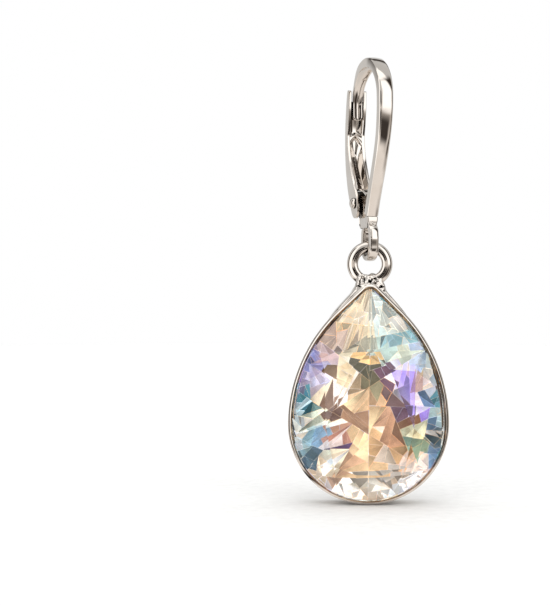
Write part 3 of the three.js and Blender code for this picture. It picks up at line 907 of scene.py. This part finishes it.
def pear(inset, fullness=0.0, flank_steps=44, belly_steps=60, point_steps=12):
    """The pear outline (across, up) from its point down the right side and up the left."""
    belly = BELLY_RADIUS + fullness
    flank_centre = FLANK_RADIUS - belly
    shoulder = math.pi / 2 - FLANK_SWEEP
    flank_end = (
        FLANK_RADIUS * math.cos(FLANK_SWEEP) - flank_centre,
        FLANK_RADIUS * math.sin(FLANK_SWEEP),
    )
    sharp_point = flank_end[1] + flank_end[0] * math.tan(shoulder)
    point_centre = sharp_point - POINT_RADIUS / math.cos(shoulder)
    point_radius = max(POINT_RADIUS - inset, 0.02)
    point_drop = max(inset - POINT_RADIUS, 0.0) / math.cos(shoulder)
    right = []
    for centre, radius, start, end, steps in (
        ((0, point_centre - point_drop), point_radius, math.pi / 2, FLANK_SWEEP, point_steps),
        ((-flank_centre, 0), FLANK_RADIUS - inset, FLANK_SWEEP, 0, flank_steps),
        ((0, 0), belly - inset, 0, -math.pi / 2, belly_steps),
    ):
        for k in range(steps + (1 if centre[1] > 0 or end < 0 else 0)):
            angle = start + (end - start) * k / steps
            right.append((
                centre[0] + radius * math.cos(angle),
                centre[1] - fullness + radius * math.sin(angle),
            ))
    return right + [(-x, z) for x, z in reversed(right[1:-1])]


def pear_ring(depth, inset, fullness=0.0):
    """The pear outline at a depth, measured forward from the ring's plane."""
    return [Vector((x, -depth, z - BELLY_BELOW_RING)) for x, z in pear(inset, fullness)]


# The cup from its back round the wall and lip to the seat's floor, as (depth, inset, fullness).
# The fullness is left out where it is 0.
CUP_ROWS = [
    (-2.0, 1.0),
    (-1.985, 0.8),
    (-1.94, 0.62),
    (-1.86, 0.46),
    (-1.66, 0.33),
    (-1.3, 0.21),
    (-0.9, 0.13),
    (0.0, 0.06),
    (0.9, 0.008),
    (1.07, 0.0),
    (1.107, 0.008),
    (1.17, 0.078),
    (1.19, 0.1),
    (1.243, 0.205, 0.01),
    (1.25, 0.225, 0.015),
    (1.243, 0.242, 0.02),
    (1.05, 0.385, 0.055),
    (0.95, 0.405, 0.06),
    (0.8, 0.37, 0.05),
    (0.55, 0.34, 0.05),
    (0.0, 0.53, 0.05),
    (-1.65, 1.1, 0.05),
]
# The middle of its back, slightly domed, as (depth, share of the first row's size).
DOME_ROWS = [(-2.05, 0.02), (-2.05, 0.2), (-2.046, 0.4), (-2.037, 0.6), (-2.022, 0.8)]
# Rings of the cup, counted from the middle of its back, between which its metal is the patchy brown.
BROWN_LIP_FROM = 20
BROWN_LIP_TO = 23


def dome_ring(depth, share):
    """The first row of the cup, shrunk towards the middle of the belly."""
    middle = Vector((0, -depth, -BELLY_BELOW_RING))
    return [middle + (Vector((p.x, -depth, p.z)) - middle) * share for p in pear_ring(*CUP_ROWS[0])]


cup_rings = [dome_ring(*row) for row in DOME_ROWS] + [pear_ring(*row) for row in CUP_ROWS]
setting = piece("bezel_cup_and_ring", skin(cup_rings), polished_plate)

# Inside the lip the metal is a patchy brown, rougher than the plate.
BRASS_PATCH_MM = 0.5
BRASS_STOPS = [(0.35, "#6a5544"), (0.5, "#a08366"), (0.68, "#d0ba9f")]

brown_lip_metal, brass, brass_face = blank_finish("lip_metal_brown_patchy")
brass_place = node(brass, "ShaderNodeTexCoord").outputs["Object"]
brass_patch = node(
    brass, "ShaderNodeTexNoise", {"Vector": brass_place, "Scale": 1 / (BRASS_PATCH_MM * MM), "Detail": 3.0}
)
brass_tone = node(brass, "ShaderNodeValToRGB", {"Fac": brass_patch}, BRASS_STOPS)
plug(brass, brass_face, {"Metallic": 1.0, "Roughness": 0.22, "Base Color": brass_tone})
setting.data.materials.append(brown_lip_metal)
ring_count = len(pear_ring(0, 0))
for face in setting.data.polygons:
    if BROWN_LIP_FROM * ring_count <= face.index < BROWN_LIP_TO * ring_count:
        face.material_index = 1

# The solder in level cuts, as (Z, half width, front, back).
SOLDER_ROWS = [
    (-17.85, 1.08, 0.36, -0.36),
    (-18.2, 1.12, 0.5, -0.5),
    (-18.5, 1.18, 0.6, -0.62),
    (-19.15, 1.42, 0.86, -0.95),
    (-19.8, 1.98, 0.96, -1.1),
    (-20.5, 2.6, 0.98, -1.1),
    (-21.25, 3.2, 0.92, -1.0),
    (-22.1, 3.72, 0.8, -0.85),
]
SOLDER_CORNER = 0.3
SOLDER_GRAIN = 0.055
# The lumps are full above LUMPS_TO, gone below LUMPS_FROM, and lower where it faces sideways.
SOLDER_LUMP = 0.32
LUMPS_FROM = -19.6
LUMPS_TO = -18.9
SIDE_LUMP_LOSS = 0.7
# Pits in its front, as (X, Z, width, height).
SOLDER_PITS = [
    (0.02, -18.36, 0.2, 0.2),
    (-0.5, -18.3, 0.1, 0.24),
    (0.46, -18.12, 0.22, 0.09),
    (-0.95, -18.78, 0.24, 0.12),
    (1.0, -18.82, 0.22, 0.13),
]
PIT_Y = -0.66
PIT_REACH = 0.36
PIT_SHADE_BROWN = "#4f3d31"
PIT_SHADE_MM = 0.6

# The solder's pits and hollows are darkened brown by painted shade, reaching less far but darkening far more
# of it than on the plate.
plated_solder = plate_variant("soft_solder_plated_over", PIT_SHADE_MM, 0.58, 0.97, PIT_SHADE_BROWN)


def solder_form():
    """Level rings of the solder, before it is made lumpy."""
    rings = []
    for z, half, front, back in blend_rows(SOLDER_ROWS, steps=4):
        corners = [(-half, -back), (-half, -front), (half, -front), (half, -back)]
        line = rounded([(*corner, SOLDER_CORNER) for corner in corners])
        rings.append([Vector((p.x, p.y, z - RING_CENTRE.z)) for p in line])
    return skin(rings)


def ring_form(major=96, minor=32):
    """The ring: a slightly flattened wire bent round, standing in the pendant's plane."""
    rings = []
    for k in range(major):
        turn = 2 * math.pi * k / major
        out = Vector((math.cos(turn), 0, math.sin(turn)))
        ring = []
        for j in range(minor):
            roll = 2 * math.pi * j / minor
            wide = RING_WIRE * math.cos(roll)
            deep = RING_WIRE * RING_FLATTENING * math.sin(roll)
            aslant = wide * math.cos(RING_LEAN) - deep * math.sin(RING_LEAN)
            front = wide * math.sin(RING_LEAN) + deep * math.cos(RING_LEAN)
            ring.append(out * (RING_RADIUS + aslant) + Vector((0, front, 0)))
        rings.append(ring)
    return skin(rings, closed=True)


solder = piece("solder", solder_form(), plated_solder)
grain = solder.modifiers.new("grain", "REMESH")
grain.mode = "VOXEL"
grain.voxel_size = SOLDER_GRAIN
settle(solder)
skin_places = [(vertex.co.copy(), vertex.normal.copy()) for vertex in solder.data.vertices]
for vertex, (place, outwards) in zip(solder.data.vertices, skin_places):
    amount = SOLDER_LUMP * ease(place.z + RING_CENTRE.z, LUMPS_FROM, LUMPS_TO)
    amount *= 1 - SIDE_LUMP_LOSS * abs(outwards.x)
    wave = noise.noise(place * 1.35 + Vector((4.2, 1.7, 0))) + 0.22 * noise.noise(place * 3.2)
    vertex.co = place + outwards * amount * wave
inside_cup = skin([pear_ring(-4, 0.14), pear_ring(4, 0.14)])
fuse(solder, inside_cup, operation="DIFFERENCE")
join(setting, solder)
fuse(setting, ring_form())
for number, (x, z, width, height) in enumerate(SOLDER_PITS):
    pit = blob((x, PIT_Y, z - RING_CENTRE.z), (width, PIT_REACH, height), 1.1, seed=number * 5.3 + 2)
    fuse(setting, pit, plated_solder, "DIFFERENCE")
setting.data.transform(pendant_place)
polish(setting, 20)
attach(setting, "pendant")
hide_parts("setting")

# ---------- stone ----------
# Pear-cut crystal glass, foiled on its back and coated so that its facets flash in blue and
# violet over champagne.

STONE_INSET = 0.44
STONE_FULLNESS = 0.08
STONE_BACK = -1.1
STONE_BACK_INSET = 2.6
GIRDLE_DEPTH = 0.95
GIRDLE_HEIGHT = 0.3
CROWN_HEIGHT = 1.75
# Corners of the crown's right half, from the belly's centre: (across, up, rise).
CROWN_CORNERS = {
    "point": (0, 11.3, 0),
    "table_top": (0, 6.4, 1),
    "table_shoulder": (1.62, 4.78, 1),
    "star_outer": (3.86, 4.55, 0.585),
    "shoulder_girdle": (4.4, 7.2, 0),
    "side_girdle": (5.7, 3.4, 0),
    "table_side": (3.72, -0.2, 1),
    "belly_girdle": (6.38, -0.9, 0),
    "star_lower": (5.1, -1.9, 0.5),
    "table_low": (2.98, -3.5, 1),
    "low_girdle": (5.34, -3.6, 0.1),
    "foot_side": (2.6, -5.95, 0.1),
    "table_foot": (1.1, -4.15, 1),
    "table_foot_left": (-1.1, -4.15, 1),
    "foot_girdle": (0, -6.55, 0.05),
}
CROWN_FACETS = [
    ("point", "table_top", "table_shoulder"),
    ("table_shoulder", "star_outer", "table_side"),
    ("star_outer", "shoulder_girdle", "side_girdle"),
    ("star_outer", "side_girdle", "table_side"),
    ("table_side", "side_girdle", "belly_girdle"),
    ("table_side", "star_lower", "table_low"),
    ("star_lower", "low_girdle", "table_low"),
    ("table_low", "low_girdle", "foot_side"),
    ("table_low", "foot_side", "table_foot"),
    ("table_foot", "table_foot_left", "foot_girdle"),
]

# Clear crystal glass under a thin vapour coat that tints a few of the crown's facets. The tint of
# each facet is kept on its face. Cut glass is polished, so it mirrors sharply.
GLASS_FLOW_MM = 1.5

crystal_glass, glass, glass_face = blank_finish("crystal_glass_polished")
glass_tint = node(glass, "ShaderNodeAttribute", attribute_name="coat_tint")
glass_flow = node(
    glass, "ShaderNodeTexNoise", {"Scale": 1 / (GLASS_FLOW_MM * MM), "Detail": 1.0, "Distortion": 0.6}
)
glass_shade = node(glass, "ShaderNodeValToRGB", {"Fac": glass_flow}, [(0.35, "#fbf9f8"), (0.65, "#ffffff")])
glass_colour = node(
    glass, "ShaderNodeMixRGB", {"Fac": 1.0, 1: glass_tint, 2: glass_shade}, blend_type="MULTIPLY"
)
plug(glass, glass_face, {
    "Base Color": glass_colour,
    "Transmission Weight": 1.0,
    "Roughness": 0.0,
    "IOR": 1.55,
})

# Coat tints of single crown facets, as (number in the list of facets, side, colour).
COAT_TINTS = [
    (1, 1, "#a48cff"),
    (2, 1, "#dcefe6"),
    (0, 1, "#e6f1f4"),
    (0, -1, "#f7ead8"),
    (2, -1, "#d9d3ec"),
    (5, -1, "#c4dcee"),
    (4, -1, "#d6e6f0"),
    (5, 1, "#f4dcc0"),
]

# Two planes are the same facet's if their normals' product is above this.
SAME_FACET = 0.9995

stone = piece(
    "crystal",
    skin([
        pear_ring(GIRDLE_DEPTH + CROWN_HEIGHT, STONE_INSET, STONE_FULLNESS),
        pear_ring(GIRDLE_DEPTH - GIRDLE_HEIGHT, STONE_INSET, STONE_FULLNESS),
        pear_ring(STONE_BACK, STONE_BACK_INSET, STONE_FULLNESS),
    ]),
    crystal_glass,
)
crown_middle = Vector((0, -GIRDLE_DEPTH, -BELLY_BELOW_RING))


def crown_plane(facet, side):
    """A point on a crown facet's plane and its outward normal."""
    a, b, c = [
        Vector((side * across, -(GIRDLE_DEPTH + rise * CROWN_HEIGHT), up - BELLY_BELOW_RING))
        for across, up, rise in (CROWN_CORNERS[name] for name in facet)
    ]
    normal = (b - a).cross(c - a).normalized()
    return a, normal if normal.dot(crown_middle - a) < 0 else -normal


cutting = bmesh.new()
cutting.from_mesh(stone.data)
for facet in CROWN_FACETS:
    for side in (1, -1):
        place, normal = crown_plane(facet, side)
        everything = list(cutting.verts) + list(cutting.edges) + list(cutting.faces)
        cut = bmesh.ops.bisect_plane(
            cutting, geom=everything, plane_co=place, plane_no=normal, clear_outer=True
        )
        rim = [e for e in cut["geom_cut"] if isinstance(e, bmesh.types.BMEdge)]
        bmesh.ops.edgenet_fill(cutting, edges=rim)
bmesh.ops.recalc_face_normals(cutting, faces=cutting.faces)
cutting.to_mesh(stone.data)
cutting.free()
coat = stone.data.attributes.new("coat_tint", "FLOAT_COLOR", "FACE")
tinted = [(crown_plane(CROWN_FACETS[number], side)[1], linear(tint)) for number, side, tint in COAT_TINTS]
for face in stone.data.polygons:
    matches = [tint for normal, tint in tinted if normal.dot(face.normal) > SAME_FACET]
    coat.data[face.index].color = matches[0] if matches else (1, 1, 1, 1)
stone.data.transform(Matrix.Scale(MM, 4) @ pendant_place)
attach(stone, "pendant")
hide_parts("stone")

# Vacuum-plated foil on the stone's back facets, seen through the crown: each facet is a small
# mirror. Its colour is partly the coat's tint and partly painted reflection, highlight and shade,
# and the foil glows with that colour too, which is painted light.
FOIL_STREAK_MM = 1.1

foil, backing, foil_face = blank_finish("vacuum_plated_foil")
foil_tint = node(backing, "ShaderNodeAttribute", attribute_name="foil_tint")
foil_spot = node(backing, "ShaderNodeTexCoord").outputs["Object"]
foil_streak = node(
    backing,
    "ShaderNodeTexNoise",
    {"Vector": foil_spot, "Scale": 1 / (FOIL_STREAK_MM * MM), "Detail": 2.0, "Distortion": 1.5},
)
foil_shade = node(
    backing, "ShaderNodeValToRGB", {"Fac": foil_streak}, [(0.35, "#efebe8"), (0.6, "#ffffff")]
)
foil_colour = node(
    backing, "ShaderNodeMixRGB", {"Fac": 1.0, 1: foil_tint, 2: foil_shade}, blend_type="MULTIPLY"
)
# Painted light: the foil's emission makes it glow with its own colour.
plug(backing, foil_face, {
    "Base Color": foil_colour,
    "Emission Color": foil_colour,
    "Emission Strength": 0.5,
    "Metallic": 1.0,
    "Roughness": 0.16,
})

# Colours of the back facets about a place on the stone, as (across, up, colour). A place holds
# every facet that is nearest to it.
# White places are painted highlights and the darkest places painted shade. The rest mix the coat's tints
# with painted reflection.
FOIL_PLACES = [
    (-1.0, 9.3, "#e9dfcd"), (0.8, 9.2, "#dfe6e2"), (-0.4, 7.7, "#dccfb6"), (-1.3, 7.3, "#cfc3a8"),
    (0.7, 7.8, "#d3dfdb"), (1.9, 8.0, "#e2e6df"), (2.5, 7.5, "#7fa9b2"), (1.5, 6.9, "#7d9fa6"),
    (2.3, 6.0, "#d6dccb"), (0.9, 6.1, "#b4c6bd"), (-0.4, 6.5, "#9c9d90"), (-2.7, 6.6, "#b9a9a6"),
    (-3.3, 6.0, "#c3b4c6"), (-1.9, 5.9, "#c9c6b4"), (0.1, 5.4, "#e8c288"), (0.1, 4.6, "#514f3c"),
    (-0.1, 3.3, "#8f8768"), (1.3, 3.8, "#5d3a50"), (1.95, 2.3, "#5e4446"), (2.6, 0.9, "#4c3044"),
    (0.9, 2.0, "#b5926f"), (-1.8, 4.1, "#dcc9a6"), (-2.9, 3.8, "#a88767"), (-2.2, 2.5, "#ffffff"),
    (-2.9, 1.9, "#7c5f4d"), (-1.1, 3.0, "#b59c7c"), (-1.1, 1.8, "#dcbb94"), (0.3, 1.1, "#d3b088"),
    (-2.9, 0.7, "#6c5148"), (-2.2, 0.0, "#a57c66"), (-1.1, 0.3, "#8d6a4f"), (2.3, 0.2, "#bc9072"),
    (3.0, -0.2, "#8c6348"), (-0.9, -0.9, "#f0cc9e"), (0.8, -0.9, "#e2b786"), (-0.8, -2.4, "#e8c89e"),
    (0.7, -2.5, "#dcb180"), (0.0, -3.4, "#dfbd92"), (-2.3, -1.5, "#b07a68"), (-2.0, -2.3, "#4d2e60"),
    (-1.9, -3.0, "#b08a6c"), (-2.7, -2.9, "#dccab0"), (1.8, -1.1, "#b08262"), (2.6, -2.3, "#d4ab7c"),
    (-4.2, 5.0, "#aeb0e0"), (-4.3, 4.0, "#d2cee8"), (-3.8, 3.0, "#c6bac9"), (-5.1, 2.1, "#5f9fae"),
    (-4.1, 2.2, "#dacbb2"), (-3.5, 1.0, "#587472"), (-4.0, 0.1, "#dfe2cc"), (-5.4, -0.2, "#fbf2e8"),
    (-3.7, -1.7, "#88a8c2"), (-4.2, -2.9, "#3f6072"), (-5.2, -2.1, "#8fb0bb"), (-3.2, -3.5, "#f6f6fa"),
    (-3.8, -4.3, "#dccbb2"), (-2.7, -4.5, "#ab8870"), (-2.3, -5.1, "#ffffff"), (-0.9, -5.7, "#fffdf8"),
    (-0.2, -4.6, "#ded6c8"), (1.2, -4.6, "#e6e0d4"), (1.9, -5.6, "#e6f2fc"), (0.5, -5.8, "#d9cdbd"),
    (2.15, -3.75, "#bfae9c"), (5.9, 0.6, "#b9d6de"), (5.6, 3.3, "#c9d6f0"), (-5.9, 0.9, "#cfe4ea"),
    (-5.4, 3.4, "#c9c8ea"), (3.5, -4.5, "#ffffff"), (3.9, -2.9, "#eedcd4"), (3.8, -1.7, "#84a79b"),
    (3.9, -0.4, "#c9caae"), (3.9, 0.6, "#a189e0"), (4.6, 1.8, "#7896bd"), (5.5, 1.9, "#5b94a6"),
    (4.2, 5.2, "#cbd8f3"), (4.9, 4.2, "#ddd2d8"), (4.4, 3.2, "#c2a98e"), (2.75, 4.2, "#e9e6f2"),
    (3.15, 2.7, "#e9e6f2"), (3.5, 1.4, "#e2dcf2"), (5.0, -0.3, "#6d8cab"), (5.5, -0.9, "#4a6372"),
    (5.3, -2.3, "#5f88b0"), (4.5, -1.0, "#93a0c8"),
]
FLASH_COLOUR = "#ffffff"
FLASH_SHARE = 0.4
# Facets lighter than one limit or darker than the other lean (across, up) by more than the rest.
FLASH_LIGHT = 0.8
FLASH_LEAN = (0.06, 0.26)
DARK_LIGHT = 0.12
DARK_LEAN = (0.12, 0.1)
CALM_LEAN = 0.07
# Some facets get a painted flash and some a painted shadow, whatever the place's colour.
FLASH_CHANCE = 0.09
SHADOW_CHANCE = 0.07
# Facets are largest at the heart. They have the rim's size from RIM_SIZE_AT outwards.
FACET_HEART = (0.0, 0.85)
FACET_AREA = 1.25
RIM_FACET_AREA = 0.55
RIM_SIZE_AT = 6.0
AREA_SPREAD = (0.45, 1.9)
CORNER_CUT_CHANCE = 0.65
# Above this height some cuts run to the stone's point.
POINT_CUTS_FROM = 6.2
POINT_CUT_CHANCE = 0.45
STONE_POINT = (0, 11.8)
# The first cuts across the back, as (across, up, degrees).
MAIN_CUTS = [(0.05, 0.0, 90), (0.0, 3.1, 34), (0.0, -0.9, 149), (0.0, -4.0, 4)]
# The foil lies in a shallow bowl, deepest at the heart. Its edge is at FOIL_RIM_AT from there.
FOIL_TOP = 0.5
FOIL_HOLLOW = 1.0
FOIL_RIM_AT = 6.5
FOIL_BACK = -1.05
FACET_BEVEL = 0.028
FACET_GAP = 0.006
SHORTEST_EDGE = 0.04
SMALLEST_AREA = 0.03
# Colours of the bevels round each facet: painted fire and highlights along its edges.
PAINTED_EDGE_FIRES = ["#ffffff", "#ffe3b8", "#ffcf94", "#dbe6ff", "#fff4e4"]
chance = random.Random(7)


def split(outline, through, way):
    """The two parts of a convex outline on either side of a line across the given way."""
    sides = ([], [])
    for i, here in enumerate(outline):
        ahead = outline[(i + 1) % len(outline)]
        near = way.dot(here - through)
        far = way.dot(ahead - through)
        if abs(near) < 1e-6:
            sides[0].append(here)
            sides[1].append(here)
            continue
        sides[0 if near > 0 else 1].append(here)
        if near * far < 0 and abs(far) >= 1e-6:
            crossing = here + (ahead - here) * (near / (near - far))
            sides[0].append(crossing)
            sides[1].append(crossing)
    return sides


def area_of(outline):
    """The area inside an outline."""
    return abs(sum(a.x * b.y - b.x * a.y for a, b in zip(outline, outline[1:] + outline[:1]))) / 2


def middle_of(outline):
    """The middle of the area inside an outline."""
    total = Vector((0, 0))
    weight = 0.0
    for a, b in zip(outline[1:], outline[2:]):
        piece_area = (a - outline[0]).cross(b - outline[0])
        total += (outline[0] + a + b) / 3 * piece_area
        weight += piece_area
    return total / weight


def nearest_colour(spot):
    """The colour of the place that is nearest to a spot on the stone."""
    return min(FOIL_PLACES, key=lambda place: (Vector(place[:2]) - spot).length)[2]


def facet_cells(outline):
    """Cuts an outline again and again: through its farthest corner, or across its longest way."""
    middle = middle_of(outline)
    rim = min((middle - Vector(FACET_HEART)).length / RIM_SIZE_AT, 1.0)
    wanted = FACET_AREA + (RIM_FACET_AREA - FACET_AREA) * rim**2
    if nearest_colour(middle) == FLASH_COLOUR:
        wanted *= FLASH_SHARE
    if area_of(outline) < wanted * chance.uniform(*AREA_SPREAD):
        return [outline]
    longest = max((b - a for a in outline for b in outline), key=lambda span: span.length)
    through = middle + longest * chance.uniform(-0.15, 0.15)
    if len(outline) in (4, 5) and chance.random() < CORNER_CUT_CHANCE:
        through = max(outline, key=lambda corner: (corner - middle).length)
        along = middle - through
        way = Vector((-along.y, along.x))
        way.rotate(Matrix.Rotation(chance.gauss(0, 0.12), 2))
    else:
        way = longest.copy()
        way.rotate(Matrix.Rotation(chance.gauss(0, 0.5), 2))
    if middle.y > POINT_CUTS_FROM and chance.random() < POINT_CUT_CHANCE:
        to_point = Vector(STONE_POINT) - middle
        through = middle
        way = Vector((-to_point.y, to_point.x))
        way.rotate(Matrix.Rotation(chance.gauss(0, 0.1), 2))
    halves = split(outline, through, way)
    if min(len(half) for half in halves) < 3:
        halves = split(outline, middle, longest)
    return [cell for half in halves for cell in facet_cells(half)]


def facet_colour(middle):
    """The colour of the nearest place, a little paler and now and then a painted flash or a painted shadow.
    """
    base = [part * 0.95 + 0.03 for part in linear(nearest_colour(middle))[:3]]
    draw = chance.random()
    if draw < FLASH_CHANCE:
        return [0.45 + 0.55 * part for part in base]
    if draw < FLASH_CHANCE + SHADOW_CHANCE:
        return [part * 0.45 for part in base]
    shift = chance.gauss(1.0, 0.16)
    return [min(part * shift, 1.0) for part in base]


def facet_tilt(colour):
    """How far a facet leans (across, up): flashes face the lamps and dark facets the gaps."""
    light = sum(colour) / 3
    turn = chance.uniform(0, 2 * math.pi)
    if light > FLASH_LIGHT:
        return Vector((chance.uniform(-FLASH_LEAN[0], FLASH_LEAN[0]), FLASH_LEAN[1]))
    if light < DARK_LIGHT:
        return Vector(DARK_LEAN) * chance.uniform(0.8, 1.2)
    return Vector((math.cos(turn), math.sin(turn))) * chance.uniform(0.0, CALM_LEAN)


def inset_corners(outline, inset):
    """An outline's corners moved towards its middle."""
    middle = middle_of(outline)
    return [corner + (middle - corner).normalized() * inset for corner in outline]


foil_points = []
foil_faces = []
foil_tints = []
mains = [[Vector(p) for p in pear(STONE_INSET + 0.1, STONE_FULLNESS, 22, 30, 6)]]
for across, up, degrees in MAIN_CUTS:
    way = Vector((-math.sin(math.radians(degrees)), math.cos(math.radians(degrees))))
    mains = [half for main in mains for half in split(main, Vector((across, up)), way) if len(half) > 2]
for cell in [cell for main in mains for cell in facet_cells(main)]:
    edges = zip(cell, cell[-1:] + cell[:-1])
    corners = [corner for corner, before in edges if (corner - before).length > SHORTEST_EDGE]
    if len(corners) < 3 or area_of(corners) < SMALLEST_AREA:
        continue
    middle = middle_of(corners)
    colour = facet_colour(middle)
    lean = facet_tilt(colour)
    rim = min((middle - Vector(FACET_HEART)).length / FOIL_RIM_AT, 1.0)
    depth = FOIL_TOP - FOIL_HOLLOW * (1 - rim**2)
    fade = Vector((chance.gauss(0, 0.2), chance.gauss(0, 0.2)))
    # Each facet's bevel takes one painted highlight colour.
    painted_fire = linear(chance.choice(PAINTED_EDGE_FIRES))[:3]
    start = len(foil_points)
    count = len(corners)
    for inset, drop in ((FACET_BEVEL, 0.0), (FACET_GAP, FACET_BEVEL), (FACET_GAP, None)):
        for corner in inset_corners(corners, inset):
            height = FOIL_BACK if drop is None else depth + lean.dot(corner - middle) - drop
            foil_points.append(Vector((corner.x, -height, corner.y - BELLY_BELOW_RING)))
    foil_faces.append(tuple(range(start, start + count)))
    foil_tints += [[part * (1 + fade.dot(corner - middle)) for part in colour] for corner in corners]
    for row in range(2):
        for i in range(count):
            j = (i + 1) % count
            low = start + row * count
            foil_faces.append((low + i, low + count + i, low + count + j, low + j))
            foil_tints += [painted_fire if row == 0 else colour] * 4
    foil_faces.append(tuple(range(start + 3 * count - 1, start + 2 * count - 1, -1)))
    foil_tints += [colour] * count
back_mesh = bpy.data.meshes.new("crystal_back_facets")
back_mesh.from_pydata(foil_points, [], foil_faces)
tints = back_mesh.attributes.new("foil_tint", "FLOAT_COLOR", "CORNER")
for corner, tint in zip(tints.data, foil_tints):
    corner.color = [min(max(part, 0.0), 1.0) for part in tint] + [1.0]
back_mesh.materials.append(foil)
back_mesh.transform(Matrix.Scale(MM, 4) @ pendant_place)
back_facets = bpy.data.objects.new("crystal_back_facets", back_mesh)
bpy.context.scene.collection.objects.link(back_facets)
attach(back_facets, "pendant")
